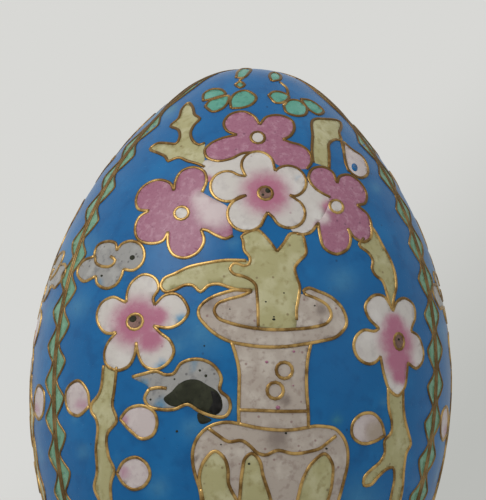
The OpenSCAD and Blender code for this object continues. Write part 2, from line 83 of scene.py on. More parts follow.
def egg_at(z):
    """Radius at a height, and the outward direction there as (across, up)."""
    if z > TIP_JOIN:
        middle, big = (0.0, TIP_Z), TIP_R
    elif z > WAIST:
        middle, big = (EGG_R - UPPER_R, WAIST), UPPER_R
    elif z > BASE_JOIN:
        middle, big = (EGG_R - LOWER_R, WAIST), LOWER_R
    else:
        middle, big = (0.0, BASE_R), BASE_R
    up = max(-1.0, min(1.0, (z - middle[1]) / big))
    out = math.sqrt(1 - up * up)
    return middle[0] + big * out, (out, up)


def face_of_egg(x, z):
    """The point of the egg behind a point of the panel's front elevation, and its normal."""
    radius, (out, up) = egg_at(z)
    turn = math.asin(max(-0.995, min(0.995, x / max(radius, 0.001))))
    normal = Vector((out * math.sin(turn), -out * math.cos(turn), up))
    return Vector((radius * math.sin(turn), -radius * math.cos(turn), z)), normal


print("radius at 20, 40 and 60 mm up:", [round(egg_at(z)[0], 2) for z in (20, 40, 60)])

# %% [markdown]
# ## Three panels
# The drawing is made once and appears three times, a third of a turn apart. The last one is
# the mirror image. A mirror turns faces inside out, so every mesh has its normals
# recalculated after it is placed. The helper also takes the mesh to metres.

# %% Turn a drawing into the pieces of three panels
SIDES = {"front": (0, 1), "right": (120, 1), "left": (240, -1)}
MM = 0.001


def place(side):
    turn, hand = SIDES[side]
    return Matrix.Rotation(math.radians(turn), 4, "Z") @ Matrix.Diagonal((hand, 1, 1, 1))


def make_piece(name, bm, materials, node, side):
    """One named object from a bmesh in mm, standing for a node of the frame."""
    bmesh.ops.transform(bm, matrix=place(side), verts=bm.verts)
    bmesh.ops.recalc_face_normals(bm, faces=bm.faces)
    bmesh.ops.scale(bm, vec=(MM, MM, MM), verts=bm.verts)
    mesh = bpy.data.meshes.new(name)
    bm.to_mesh(mesh)
    bm.free()
    for polygon in mesh.polygons:
        polygon.use_smooth = True
    for material in materials:
        mesh.materials.append(material)
    piece = bpy.data.objects.new(name, mesh)
    bpy.context.scene.collection.objects.link(piece)
    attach(piece, "root")
    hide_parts(node)


def make_pair(side, name, pads, glasses, node, lines, ribbon_metal):
    """The glass of a drawing and the ribbons round it, on one panel."""
    make_piece(f"{side}_{name}_glass", pads, glasses, f"{side}_{node}_enamel", side)
    make_piece(f"{side}_{name}_ribbons", lines, [ribbon_metal], f"{side}_{node}_wires", side)


# %% [markdown]
# ## Flowing lines
# A maker bends each ribbon by hand round a drawn line. The line here is a few points in the
# panel's front elevation, across and up in millimetres, and a curve that runs through them
# all. Its direction at a point comes from the two neighbours, weighted by their distances,
# so it doesn't swing out where the points lie unevenly.

# %% A curve through points
STEP = 0.3


def smooth(points, closed=False):
    """Samples of the curve through the points. A closed curve doesn't repeat its start."""
    pts = [Vector(p) for p in points]
    n = len(pts)
    if n == 2:
        count = max(1, round((pts[1] - pts[0]).length / STEP))
        return [pts[0].lerp(pts[1], i / count) for i in range(count + 1)]

    def at(i):
        if closed:
            return pts[i % n]
        if i < 0:
            return 2 * pts[0] - pts[1]
        return pts[i] if i < n else 2 * pts[-1] - pts[-2]

    def way(i):
        before, here, after = at(i - 1), at(i), at(i + 1)
        a, b = (here - before).length, (after - here).length
        return ((here - before) / max(a, 1e-6) * b + (after - here) / max(b, 1e-6) * a) / max(a + b, 1e-6)

    out = []
    for i in range(n if closed else n - 1):
        a, b = at(i), at(i + 1)
        span = (b - a).length
        count = max(1, round(span / STEP))
        for k in range(count):
            t = k / count
            h0, h1 = 2 * t ** 3 - 3 * t ** 2 + 1, t ** 3 - 2 * t ** 2 + t
            h2, h3 = 3 * t ** 2 - 2 * t ** 3, t ** 3 - t ** 2
            out.append(a * h0 + way(i) * span * h1 + b * h2 + way(i + 1) * span * h3)
    return out if closed else out + [pts[-1]]


def ring_at(x, z, rx, rz=None):
    """Points round a small ring or oval."""
    rz = rz or rx
    return [(x + rx * math.cos(a), z + rz * math.sin(a)) for a in (math.tau * i / 12 for i in range(12))]


def round_lobe(a, b, x, z, r):
    """A lobe from notch a to notch b, clockwise round the outside of a circle."""
    start = math.atan2(a[1] - z, a[0] - x)
    end = math.atan2(b[1] - z, b[0] - x)
    while end >= start:
        end -= math.tau
    count = max(3, round((start - end) / 0.55))
    between = [start + (end - start) * (i + 0.5) / count for i in range(count)]
    return [a] + [(x + r * math.cos(t), z + r * math.sin(t)) for t in between] + [b]


def outline(arcs):
    """One closed outline from arcs that meet at corners."""
    return [p for arc in arcs for p in smooth(arc)[:-1]]


print("samples round a 2 mm lobe:", len(smooth(ring_at(0, 0, 2), True)))

# %% [markdown]
# ## Ribbons
# A cloison is a flat ribbon of gilt copper, about a third of a millimetre wide, that stands
# on edge on the copper. After firing and grinding only its upper edge shows, a little
# proud of the glass and worn round. A grid makes one ribbon: one way round the grid is the
# section of the ribbon, the other way runs along the line. Its vertices are moved onto the
# egg, and what meets is merged.

# %% Lay a ribbon along a line
RIBBON_W, SCALLOP_RIBBON_W = 0.34, 0.27
MERGE = 0.0005
DEPTH = 0.45  # how far ribbons and pads go down
# Section across the ribbon: half widths, and heights over the polished surface in mm.
SECTION = [(-1, -DEPTH), (1, -DEPTH), (1, -0.06), (0.8, 0.015), (0.4, 0.05), (-0.4, 0.05), (-0.8, 0.015),
           (-1, -0.06), (-1, -DEPTH)]


def pour(bm, target):
    """Adds everything in one bmesh to the target and frees the first."""
    part = bpy.data.meshes.new("part")
    bm.to_mesh(part)
    bm.free()
    target.from_mesh(part)
    bpy.data.meshes.remove(part)


def lay_ribbon(target, path, closed, width=RIBBON_W):
    """Adds a ribbon along a path of (point, normal) pairs to the target bmesh."""
    count = len(path) if closed else len(path) - 1
    across = len(SECTION) - 1
    bm = bmesh.new()
    bmesh.ops.create_grid(bm, x_segments=across, y_segments=count, size=1)
    for vert in bm.verts:
        k = round((vert.co.x + 1) / 2 * across)
        i = round((vert.co.y + 1) / 2 * count)
        point, normal = path[i % len(path)]
        before = path[(i - 1) % len(path) if closed else max(i - 1, 0)][0]
        after = path[(i + 1) % len(path) if closed else min(i + 1, count)][0]
        side = (after - before).cross(normal).normalized()
        vert.co = point + side * (SECTION[k][0] * width / 2) + normal * SECTION[k][1]
    bmesh.ops.remove_doubles(bm, verts=bm.verts, dist=MERGE)
    if not closed:
        bmesh.ops.holes_fill(bm, edges=[e for e in bm.edges if e.is_boundary], sides=0)
    pour(bm, target)


def ribbon(target, points, closed=False):
    """A ribbon along a smooth line of the front elevation."""
    lay_ribbon(target, [face_of_egg(p[0], p[1]) for p in smooth(points, closed)], closed)


# %% [markdown]
# ## Pads of enamel
# Each cell between ribbons is filled with ground glass that melts into a pad. A pad here
# starts as its outline in the elevation, is filled with faces and is cut along a fine grid,
# so that it can bend. Then its vertices move onto the egg and a copy is pulled down to the
# copper, which makes it a closed body. Its level decides which of two overlapping pads is
# seen, as the last one laid. Two attributes, shade and stain, may hold tints that change
# over the pad, and its material reads them.

# %% Fill a cell
GRID = 0.7
GROUND_LEVEL, LEVEL_STEP = -0.07, 0.012
GROUND_DEPTH = 0.6


def fill_cell(target, loop, level=1, slot=0, shade=None, stain=None):
    """Adds a pad inside an outline, at a level over the ground, to the target bmesh."""
    bm = bmesh.new()
    corners = [bm.verts.new((p[0], 0, p[1])) for p in loop]
    edges = [bm.edges.new((corners[i], corners[(i + 1) % len(corners)])) for i in range(len(corners))]
    bmesh.ops.triangle_fill(bm, edges=edges, use_beauty=True)
    for axis in (0, 2):
        low = min(p[0 if axis == 0 else 1] for p in loop)
        high = max(p[0 if axis == 0 else 1] for p in loop)
        for k in range(math.ceil(low / GRID), math.floor(high / GRID) + 1):
            where, way = [0, 0, 0], [0, 0, 0]
            where[axis], way[axis] = k * GRID, 1
            geom = list(bm.verts) + list(bm.edges) + list(bm.faces)
            bmesh.ops.bisect_plane(bm, geom=geom, dist=1e-5, plane_co=where, plane_no=way)
    tints = {name: bm.verts.layers.float.new(name) for name in ("shade", "stain")}
    for vert in bm.verts:
        x, z = vert.co.x, vert.co.z
        vert[tints["shade"]] = shade(x, z) if shade else 0.0
        vert[tints["stain"]] = stain(x, z) if stain else 0.0
        point, normal = face_of_egg(x, z)
        vert.co = point + normal * (GROUND_LEVEL + LEVEL_STEP * level)
    made = bmesh.ops.extrude_face_region(bm, geom=list(bm.faces), use_keep_orig=True)
    for vert in [v for v in made["geom"] if isinstance(v, bmesh.types.BMVert)]:
        inward = Vector((vert.co.x, vert.co.y, vert.co.z - WAIST)).normalized()
        vert.co -= inward * DEPTH
    for face in bm.faces:
        face.material_index = slot
    pour(bm, target)


def near(spots, soft):
    """A tint that is 1 at the middle of each spot (x, z, radius) and fades out past it."""
    def tint(x, z):
        most = 0.0
        for sx, sz, r in spots:
            d = math.hypot(x - sx, z - sz)
            t = max(0.0, min(1.0, (r * (1 + soft) - d) / (2 * soft * r)))
            most = max(most, t * t * (3 - 2 * t))
        return most
    return tint


# %% [markdown]
# ## The look of fired glass
# Hand-filled enamel is never one colour. Each firing leaves lighter clouds where the glass
# ran thin and deeper ones where it pooled, and grains of soot and scale are caught in it.
# One node group mixes these and every enamel uses it with its own colours. A second group
# gives the slight waves and pinholes of a surface that was ground by hand.

# %% Node groups for enamel
def paint(red, green, blue):
    """A colour as a painter's eye reads it, 0 to 255, in the light values that Blender uses."""
    def one(v):
        v /= 255
        return v / 12.92 if v <= 0.04045 else ((v + 0.055) / 1.055) ** 2.4
    return (one(red), one(green), one(blue), 1.0)


def new_group(name, inputs, outputs):
    group = bpy.data.node_groups.new(name, "ShaderNodeTree")
    for label, kind, value in inputs:
        socket = group.interface.new_socket(label, in_out="INPUT", socket_type=kind)
        if value is not None:
            socket.default_value = value
    for label, kind in outputs:
        group.interface.new_socket(label, in_out="OUTPUT", socket_type=kind)
    return group, group.nodes.new("NodeGroupInput"), group.nodes.new("NodeGroupOutput")


class Wires:
    """Short ways to add and join shader nodes in one tree."""

    def __init__(self, tree):
        self.tree = tree

    def join(self, source, target):
        if isinstance(source, (int, float, tuple)):
            target.default_value = source
        elif source is not None:
            self.tree.links.new(source, target)

    def new(self, kind):
        return self.tree.nodes.new("ShaderNode" + kind)

    def height(self, where):
        """The Z of a vector, and its X."""
        node = self.new("SeparateXYZ")
        self.join(where, node.inputs[0])
        return node.outputs["Z"], node.outputs["X"]

    def noise(self, where, scale, detail=3.0, rough=0.55):
        node = self.new("TexNoise")
        self.join(where, node.inputs["Vector"])
        self.join(scale, node.inputs["Scale"])
        node.inputs["Detail"].default_value = detail
        node.inputs["Roughness"].default_value = rough
        return node.outputs["Fac"]

    def ramp(self, value, low, high):
        node = self.new("MapRange")
        node.interpolation_type = "SMOOTHSTEP"
        self.join(value, node.inputs["Value"])
        self.join(low, node.inputs["From Min"])
        self.join(high, node.inputs["From Max"])
        return node.outputs["Result"]

    def maths(self, how, a, b=0.0):
        node = self.new("Math")
        node.operation = how
        self.join(a, node.inputs[0])
        self.join(b, node.inputs[1])
        return node.outputs[0]

    def mix(self, share, a, b):
        node = self.new("Mix")
        node.data_type = "RGBA"
        self.join(share, node.inputs["Factor"])
        self.join(a, [s for s in node.inputs if s.name == "A" and s.type == "RGBA"][0])
        self.join(b, [s for s in node.inputs if s.name == "B" and s.type == "RGBA"][0])
        return [s for s in node.outputs if s.type == "RGBA"][0]


COLOUR, NUMBER, VECTOR = "NodeSocketColor", "NodeSocketFloat", "NodeSocketVector"

glass_group, g_in, g_out = new_group(
    "fired glass colour",
    [("Where", VECTOR, None), ("Main", COLOUR, None), ("Thin", COLOUR, None), ("Deep", COLOUR, None),
     ("Speck", COLOUR, None), ("Cloud size", NUMBER, 260.0), ("Speck share", NUMBER, 0.1)],
    [("Color", COLOUR)],
)
w = Wires(glass_group)
cloud = w.ramp(w.noise(g_in.outputs["Where"], g_in.outputs["Cloud size"], 4.0), 0.46, 0.7)
pool = w.ramp(w.noise(g_in.outputs["Where"], w.maths("MULTIPLY", g_in.outputs["Cloud size"], 3.1), 3.0), 0.5, 0.72)
tone = w.mix(cloud, g_in.outputs["Main"], g_in.outputs["Thin"])
tone = w.mix(w.maths("MULTIPLY", pool, 0.75), tone, g_in.outputs["Deep"])
cells = glass_group.nodes.new("ShaderNodeTexVoronoi")
cells.inputs["Scale"].default_value = 1250.0
w.join(g_in.outputs["Where"], cells.inputs["Vector"])
near_middle = w.maths("SUBTRACT", 1.0, w.ramp(cells.outputs["Distance"], 0.1, 0.22))
pick = glass_group.nodes.new("ShaderNodeSeparateColor")
w.join(cells.outputs["Color"], pick.inputs[0])
chosen = w.maths("LESS_THAN", pick.outputs[0], g_in.outputs["Speck share"])
speck = w.maths("MULTIPLY", near_middle, chosen)
w.join(w.mix(w.maths("MULTIPLY", speck, 0.6), tone, g_in.outputs["Speck"]), g_out.inputs["Color"])

surface_group, s_in, s_out = new_group(
    "ground by hand", [("Where", VECTOR, None), ("Wave size", NUMBER, 420.0), ("Pinholes", NUMBER, 0.4)],
                                       [("Height", NUMBER)]
)
w = Wires(surface_group)
waves = w.noise(s_in.outputs["Where"], s_in.outputs["Wave size"], 2.0)
grain = w.noise(s_in.outputs["Where"], 3200.0, 2.0)
holes = surface_group.nodes.new("ShaderNodeTexVoronoi")
holes.inputs["Scale"].default_value = 2100.0
w.join(s_in.outputs["Where"], holes.inputs["Vector"])
pit = w.maths("MULTIPLY", w.maths("SUBTRACT", 1.0, w.ramp(holes.outputs["Distance"], 0.05, 0.2)),
              s_in.outputs["Pinholes"])
level = w.maths("ADD", waves, w.maths("MULTIPLY", grain, 0.12))
w.join(w.maths("SUBTRACT", level, pit), s_out.inputs["Height"])
print("groups:", [g.name for g in bpy.data.node_groups])

# %% [markdown]
# ## Enamels
# Each enamel is the glossy Principled shader with those two groups. A blossom's white runs
# into pink at its heart, and here and there the blue ground has crept into a cell, so an
# enamel may take a second colour where the pad's shade is high and a third where its stain
# is. The noise added to the shade makes the pink end in grains, as ground glass does.

# %% Make the enamels
def start_material(name, roughness, metallic=0.0, coat=0.0):
    material = bpy.data.materials.new(name)
    material.use_nodes = True
    shader = material.node_tree.nodes["Principled BSDF"]
    shader.inputs["Roughness"].default_value = roughness
    shader.inputs["Metallic"].default_value = metallic
    shader.inputs["Coat Weight"].default_value = coat
    shader.inputs["Coat Roughness"].default_value = 0.2
    shader.inputs["Specular IOR Level"].default_value = 0.5 if metallic else 0.22
    where = material.node_tree.nodes.new("ShaderNodeTexCoord").outputs["Object"]
    return material, Wires(material.node_tree), shader, where


def put_group(tree_wires, group, **values):
    node = tree_wires.tree.nodes.new("ShaderNodeGroup")
    node.node_tree = group
    for label, value in values.items():
        tree_wires.join(value, node.inputs[label.replace("_", " ")])
    return node.outputs[0]


def bump(w, shader, height, depth):
    node = w.new("Bump")
    node.inputs["Distance"].default_value = depth
    w.join(height, node.inputs["Height"])
    w.join(node.outputs["Normal"], shader.inputs["Normal"])


def enamel(name, main, thin, deep, speck, cloud_size=260.0, speck_share=0.1, shade=None, stain=None,
           roughness=0.32):
    material, w, shader, where = start_material(name, roughness, coat=0.04 if roughness < 0.5 else 0.0)
    colour = put_group(w, glass_group, Where=where, Main=paint(*main), Thin=paint(*thin), Deep=paint(*deep),
                       Speck=paint(*speck), Cloud_size=cloud_size, Speck_share=speck_share)
    for label, second in (("shade", shade), ("stain", stain)):
        if second:
            tint = w.new("Attribute")
            tint.attribute_name = label
            grainy = w.maths("MULTIPLY", w.maths("SUBTRACT", w.noise(where, 1300.0, 4.0, 0.7), 0.5),
                             w.maths("MULTIPLY", tint.outputs["Fac"], 0.8))
            share = w.ramp(w.maths("ADD", tint.outputs["Fac"], grainy), 0.02, 0.9)
            colour = w.mix(share, colour, paint(*second))
    w.join(colour, shader.inputs["Base Color"])
    bump(w, shader, put_group(w, surface_group, Where=where, Wave_size=420.0, Pinholes=0.35), 0.00004)
    return material


BLUE = enamel("blue_enamel", (4, 91, 147), (12, 101, 157), (0, 80, 134), (4, 40, 76), 150.0, 0.04,
              shade=(66, 126, 162), stain=(56, 120, 130))
GREEN = enamel("green_enamel", (102, 147, 120), (120, 162, 137), (84, 127, 102), (60, 90, 72), 420.0, 0.06)
LEAF = enamel("leaf_enamel", (82, 148, 130), (102, 162, 146), (64, 128, 112), (50, 92, 80), 420.0, 0.05)
LILAC = enamel("lilac_cream_enamel", (167, 156, 146), (184, 175, 165), (142, 127, 118), (112, 72, 74), 520.0, 0.32,
               shade=(128, 116, 108))
STRAW = enamel("straw_enamel", (162, 157, 115), (178, 174, 138), (140, 131, 86), (104, 82, 52), 380.0, 0.18)
WHITE = enamel("white_enamel", (191, 186, 181), (201, 197, 193), (178, 172, 169), (150, 124, 130), 300.0, 0.06,
               shade=(165, 103, 126), stain=(92, 140, 172))
MAGENTA = enamel("magenta_enamel", (150, 98, 119), (166, 122, 139), (132, 79, 103), (96, 52, 74), 1500.0, 0.14,
                 shade=(191, 176, 177), stain=(190, 184, 180))
BUD = enamel("bud_enamel", (185, 174, 173), (196, 187, 185), (170, 155, 158), (130, 100, 110), 420.0, 0.1,
             shade=(168, 130, 146), stain=(158, 144, 130))
BURNT = enamel("burnt_glass", (112, 84, 76), (136, 106, 98), (84, 62, 56), (44, 36, 32), 700.0, 0.3)
GREY = enamel("grey_enamel", (144, 143, 141), (162, 161, 158), (118, 117, 118), (54, 50, 54), 420.0, 0.55,
              shade=(86, 124, 150))
SOOT = enamel("dark_void", (38, 40, 27), (50, 52, 38), (27, 29, 20), (84, 80, 62), 700.0, 0.2, roughness=0.75)
CRUST = enamel("black_crust", (16, 15, 14), (30, 28, 26), (8, 8, 8), (78, 72, 60), 900.0, 0.2, roughness=0.6)
print("enamels:", len(bpy.data.materials))

# %% [markdown]
# ## Metals
# The ribbons were gilt and are now worn: brown bronze with brighter gold where they are
# rubbed. The foot is gilt brass with the same wear, and the cups under the enamel are dull
# copper. All of them are also painted browner towards the tip, as a painted darker
# reflection. One group gives the patches and a fine grain.

# %% Make the metals
wear_group, r_in, r_out = new_group(
    "worn gilding",
    [("Where", VECTOR, None), ("Gold", COLOUR, None), ("Brown", COLOUR, None), ("Patch size", NUMBER, 500.0),
     ("Wear", NUMBER, 0.5)],
    [("Color", COLOUR), ("Height", NUMBER)],
)
w = Wires(wear_group)
patches = w.noise(r_in.outputs["Where"], r_in.outputs["Patch size"], 5.0, 0.65)
low = w.maths("SUBTRACT", r_in.outputs["Wear"], 0.12)
high = w.maths("ADD", r_in.outputs["Wear"], 0.12)
worn = w.ramp(patches, low, high)
w.join(w.mix(worn, r_in.outputs["Gold"], r_in.outputs["Brown"]), r_out.inputs["Color"])
w.join(w.noise(r_in.outputs["Where"], 5200.0, 2.0), r_out.inputs["Height"])


TIP_SHADE_FROM = (0.042, 0.054)  # heights in m between which the metals are painted browner towards the tip, as painted shade


def metal(name, gold, brown, roughness, patch_size, wear_and_tip_shade):
    material, w, shader, where = start_material(name, roughness, metallic=1.0)
    node = w.new("Group")
    node.node_tree = wear_group
    # painted shade: the metals turn browner towards the tip, standing for the darker reflection there
    tip_shade = w.ramp(w.height(where)[0], *TIP_SHADE_FROM)
    wear_and_tip_shade = w.maths("SUBTRACT", wear_and_tip_shade, w.maths("MULTIPLY", tip_shade, 0.13))
    for label, value in (("Where", where), ("Gold", paint(*gold)), ("Brown", paint(*brown)),
                         ("Patch size", patch_size), ("Wear", wear_and_tip_shade)):
        w.join(value, node.inputs[label])
    w.join(node.outputs["Color"], shader.inputs["Base Color"])
    bump(w, shader, node.outputs["Height"], 0.00002)
    return material


RIBBON = metal("worn_gilt_ribbon", (194, 160, 100), (116, 88, 50), 0.4, 420.0, 0.5)
DULL_RIBBON = metal("brown_ribbon", (146, 120, 78), (104, 80, 46), 0.44, 420.0, 0.48)
GILT = metal("gilt_foot", (222, 184, 108), (150, 112, 66), 0.3, 260.0, 0.6)
COPPER = metal("dull_copper", (196, 124, 86), (130, 80, 58), 0.5, 160.0, 0.5)
for node_name, material in (("upper_cup", COPPER), ("lower_cup", COPPER), ("waist_sleeve", COPPER),
                            ("foot_ring", GILT), ("foot_plate", GILT)):
    for holder in frame["nodes"][node_name].material_slots:
        holder.material = material
print("materials:", len(bpy.data.materials))

# %% [markdown]
# ## The white blossoms
# Three white plum blossoms have five petals round a small ring. A maker closes each petal
# between two notches, so each petal here is one arc from notch to notch, and the arcs form
# the blossom's outline. The petals of the middle blossom are nearly round, so they come
# from circles. The pink heart is a shade around the ring.

# %% Outlines of the white blossoms
NOTCHES = [(-1.3, 48.1), (1.65, 48.9), (3.15, 46.3), (0.95, 44.2), (-1.2, 45.95)]
LOBES = [(-0.1, 49.4, 1.65), (3.1, 47.9, 1.75), (3.05, 44.4, 1.7), (-1.15, 43.9, 1.85), (-3.1, 46.9, 1.7)]
MIDDLE_WHITE = [round_lobe(NOTCHES[i], NOTCHES[(i + 1) % 5], *LOBES[i]) for i in range(5)]
LEFT_WHITE = [
    [(-12.5, 34.65), (-12.5, 35.5), (-12.2, 36.5), (-10.9, 37.45), (-9.8, 37), (-9.4, 36), (-9.9, 34.9),
     (-9.7, 34.3)],
    [(-9.7, 34.3), (-8.7, 35.3), (-7.7, 35.4), (-6.6, 34.3), (-6.4, 33.8), (-7, 32.6), (-8, 32.05), (-9.7, 32.2)],
    [(-9.7, 32.2), (-9, 31.5), (-8, 30.7), (-7.6, 29.7), (-8.1, 28.6), (-9.3, 27.9), (-10.3, 28.2), (-11, 29.3),
     (-11.3, 30.6)],
    [(-11.3, 30.6), (-11.4, 29.3), (-12, 28.2), (-13, 27.85), (-14.1, 28.4), (-14.4, 29.6), (-14, 30.8),
     (-13.3, 31.6)],
    [(-13.3, 31.6), (-14.3, 31.6), (-15.2, 32.6), (-15.4, 33.5), (-14.9, 34.8), (-13.8, 35.25), (-12.9, 34.8),
     (-12.5, 34.65)],
]
RIGHT_WHITE = [
    [(12.6, 33.4), (11.5, 34.3), (11.1, 35.3), (12.3, 36.8), (13, 36.8), (13.6, 36.2), (14.1, 35.4)],
    [(14.1, 35.4), (14.6, 36.5), (15.4, 37), (16.4, 36.6), (16.7, 35.2), (16.3, 34.1), (16.2, 33.7)],
    [(16.2, 33.7), (17, 33.4), (17.6, 32.4), (17.7, 31), (16.9, 30), (15.9, 30.4)],
    [(15.9, 30.4), (15.85, 29.3), (15.6, 27.8), (14.9, 26.95), (14, 27.4), (13.4, 28.6), (13, 30), (12.85, 30.6)],
    [(12.85, 30.6), (12.5, 30.1), (11.7, 29.7), (10.7, 30), (10, 31.3), (10.2, 32.2), (11, 33), (12.3, 33.1),
     (12.6, 33.4)],
]
PINK_HEART = near([(0.75, 46.3, 2.2), (-11.4, 32.6, 2.3), (-9.9, 30.9, 1.2), (-9.4, 33.1, 1.0), (14.6, 32.4, 1.8),
                   (14.3, 34.0, 1.1),
                   (14.9, 30.4, 1.5), (15.1, 29.0, 0.9)], 0.85)
BLUE_CREEP = near([(-7.0, 32.9, 0.5), (-8.6, 28.2, 0.5), (3.9, 48.6, 0.25), (-12.7, 36.6, 0.25)], 1.0)


def white_blossoms(side):
    pads, lines = bmesh.new(), bmesh.new()
    for petals in (MIDDLE_WHITE, LEFT_WHITE, RIGHT_WHITE):
        fill_cell(pads, outline(petals), 4, 0, PINK_HEART, BLUE_CREEP)
        for petal in petals:
            ribbon(lines, petal)
    for x, z, rx, rz in ((0.7, 46.3, 0.74, 0.74), (-11.55, 32.65, 0.8, 0.8), (14.85, 32.4, 0.58, 0.84)):
        fill_cell(pads, smooth(ring_at(x, z, rx, rz), True), 5, 2)
        ribbon(lines, ring_at(x, z, rx, rz), True)
    for x, z, r in ((0.95, 46.6, 0.28), (0.45, 46.1, 0.14), (-11.75, 32.95, 0.36), (14.8, 32.6, 0.12)):
        fill_cell(pads, smooth(ring_at(x, z, r), True), 6, 1)
    make_pair(side, "white_blossom", pads, [WHITE, SOOT, BURNT], "white_blossom", lines, RIBBON)


for side in SIDES:
    white_blossoms(side)

# %% [markdown]
# ## The magenta blossoms
# Three magenta blossoms peep out behind the white one. Their petals stop at its edge, so
# those arcs are open and only the pad goes on beneath it. Between the blossoms lie two
# white cells, which blush next to the petals. The centres of these blossoms are white too, and the magenta pales
# where it meets the white cells.

# %% Outlines of the magenta blossoms
TOP_ARCS = [
    [(-2.3, 53), (-3.3, 53.5), (-3.65, 54.45), (-3, 55.6), (-1.55, 56), (-0.5, 55.4), (0.05, 54.4)],
    [(0.05, 54.4), (0.7, 55.4), (1.7, 55.8), (2.6, 55.75), (3.5, 55.2), (3.65, 54.3), (3.2, 53.3), (2.45, 52.75)],
    [(2.45, 52.75), (3.2, 52.5), (4.35, 52.25), (5.3, 51.4), (5.4, 50.3), (4.9, 49.5)],
    [(-0.9, 50.9), (-1.55, 50.8), (-2.9, 50.05), (-4.3, 49.8), (-5.2, 50.2), (-5.5, 51.1), (-4.9, 51.9),
     (-4, 52.45), (-2.3, 53)],
]
TOP_UNDER = [(4.9, 49.5), (2.9, 49.3), (0.9, 50.2), (-0.9, 50.9)]
WEST_ARCS = [
    [(-10.8, 44.3), (-11.9, 44.6), (-12.2, 45.6), (-11.7, 47), (-10, 47.8), (-8.8, 47.3), (-8.4, 46.45)],
    [(-8.4, 46.45), (-8.3, 47.6), (-7.7, 48.7), (-6.55, 49.1), (-5.5, 48.6), (-5.2, 47.6), (-5.6, 46.2)],
    [(-2.4, 41.55), (-3.1, 41.2), (-4, 41.5), (-5.2, 42.1), (-5.55, 42.1)],
    [(-5.55, 42.1), (-5.2, 41), (-5.9, 39.6), (-7.1, 39.1), (-8.2, 39.5), (-8.65, 40.3), (-8.8, 41.9)],
    [(-8.8, 41.9), (-9.2, 41), (-10.45, 40.7), (-11.7, 41.2), (-12.1, 42.5), (-11.7, 43.7), (-10.8, 44.3)],
]
WEST_UNDER = [(-5.6, 46.2), (-4.5, 45.5), (-2.9, 44.5), (-2.4, 41.55)]
EAST_ARCS = [
    [(7.35, 46.6), (6.55, 46.9), (5.7, 47.45), (5.1, 48.5), (5.5, 49.6), (6.55, 50), (7.6, 49.6), (8.1, 48.35)],
    [(8.1, 48.35), (8.4, 49.2), (9.35, 49.6), (10.6, 49), (11.35, 47.45), (11.1, 46.6), (10.2, 46.2)],
    [(10.2, 46.2), (11.4, 45.3), (11.8, 43.8), (11.6, 42.7), (10.9, 42.2), (9.9, 42.5), (9.2, 43.4)],
    [(9.2, 43.4), (9.5, 42.5), (9.1, 41.1), (7.9, 40.45), (6.7, 41), (6.3, 42.2), (6.1, 43.6)],
]
EAST_UNDER = [(6.1, 43.6), (6.9, 45.0), (7.35, 46.6)]
WHITE_CELLS = [
    [(-5.4, 49.9), (-5.3, 47.4), (-3.5, 48), (-1.5, 48.2), (-1.2, 51), (-3, 50.2), (-4.3, 49.9)],
    [(3.6, 46.4), (4.6, 47.9), (5.3, 48), (5.9, 47.3), (7.3, 46.7), (7.1, 45.4), (6.2, 43.7), (5.3, 42.45),
     (4.1, 42.05), (3, 43)],
]
PALE = near([(-4.2, 44.2, 1.7), (-5.6, 45.4, 0.9), (-4.6, 47.0, 0.7), (6.5, 44.2, 0.7), (6.9, 45.6, 0.5)], 1.0)
BLUSH = near([(7.3, 45.4, 0.8), (6.2, 43.2, 0.5), (-5.0, 47.6, 0.5)], 1.0)


def magenta_blossoms(side):
    pads, lines = bmesh.new(), bmesh.new()
    for arcs, under, after in ((TOP_ARCS, TOP_UNDER, 3), (WEST_ARCS, WEST_UNDER, 2), (EAST_ARCS, EAST_UNDER, 4)):
        fill_cell(pads, outline(arcs[:after] + [under] + arcs[after:]), 3, 0, PALE)
        for arc in arcs:
            ribbon(lines, arc)
    for cell in WHITE_CELLS:
        fill_cell(pads, smooth(cell, True), 2, 1, BLUSH)
    ribbon(lines, [(3.9, 42.1), (4.6, 42.15), (5.3, 42.45), (6.0, 43.4)])
    for x, z in ((-0.15, 52.75), (-7.55, 43.9), (8.0, 45.65)):
        fill_cell(pads, smooth(ring_at(x, z, 0.7), True), 4, 1)
        ribbon(lines, ring_at(x, z, 0.72), True)
    make_pair(side, "magenta_blossom", pads, [MAGENTA, WHITE], "pink_blossom", lines, RIBBON)


for side in SIDES:
    magenta_blossoms(side)
print("magenta blossoms on", len(SIDES), "panels")

# %% [markdown]
# ## The plum branch
# The trunk grows out of the vase's mouth and forks under the white blossom. An arm runs out
# to the left, two short stubs stand above, and thin stems hang at the sides. Each is a
# closed line with straw-green glass in it. The trunk lies over the arm and the vase.

# %% Outlines of the branch
TRUNK_LEFT = [
    (2, 40.1), (0.9, 41.5), (0.1, 42.2), (-1, 41.9), (-1.55, 41.45), (-1.4, 41.1), (-1.2, 40), (-0.65, 39.3),
    (-0.7, 38.6), (-1, 38.45), (-2.2, 38.6), (-2.55, 38.1), (-2.2, 37.6), (-1.4, 37.4), (-0.6, 37.1),
    (0.05, 36.5), (0.15, 35.8), (0.3, 34.5), (0.42, 32.4),
]
TRUNK_RIGHT = [
    (4.15, 33.3), (4.1, 34.3), (4.25, 35.5), (4.35, 36.7), (3.95, 37.8), (3.8, 38.6), (4.1, 39.15), (4.9, 40.2),
    (4.75, 41.3), (4.55, 42), (3.3, 42.1), (2.7, 41.1), (2, 40.1),
]
ARM = [
    (-1, 39), (-1.6, 39), (-3, 38.95), (-4.9, 38.6), (-6.5, 38.2), (-7.9, 37.5), (-9, 36.9), (-9.2, 36.1),
    (-8.7, 35.6), (-8, 35.75), (-6.7, 36.35), (-6.1, 36.3), (-5.3, 35.65), (-4.6, 36.3), (-3.8, 36.5),
    (-2.6, 36.2), (-1.9, 36), (-0.3, 35.95),
]
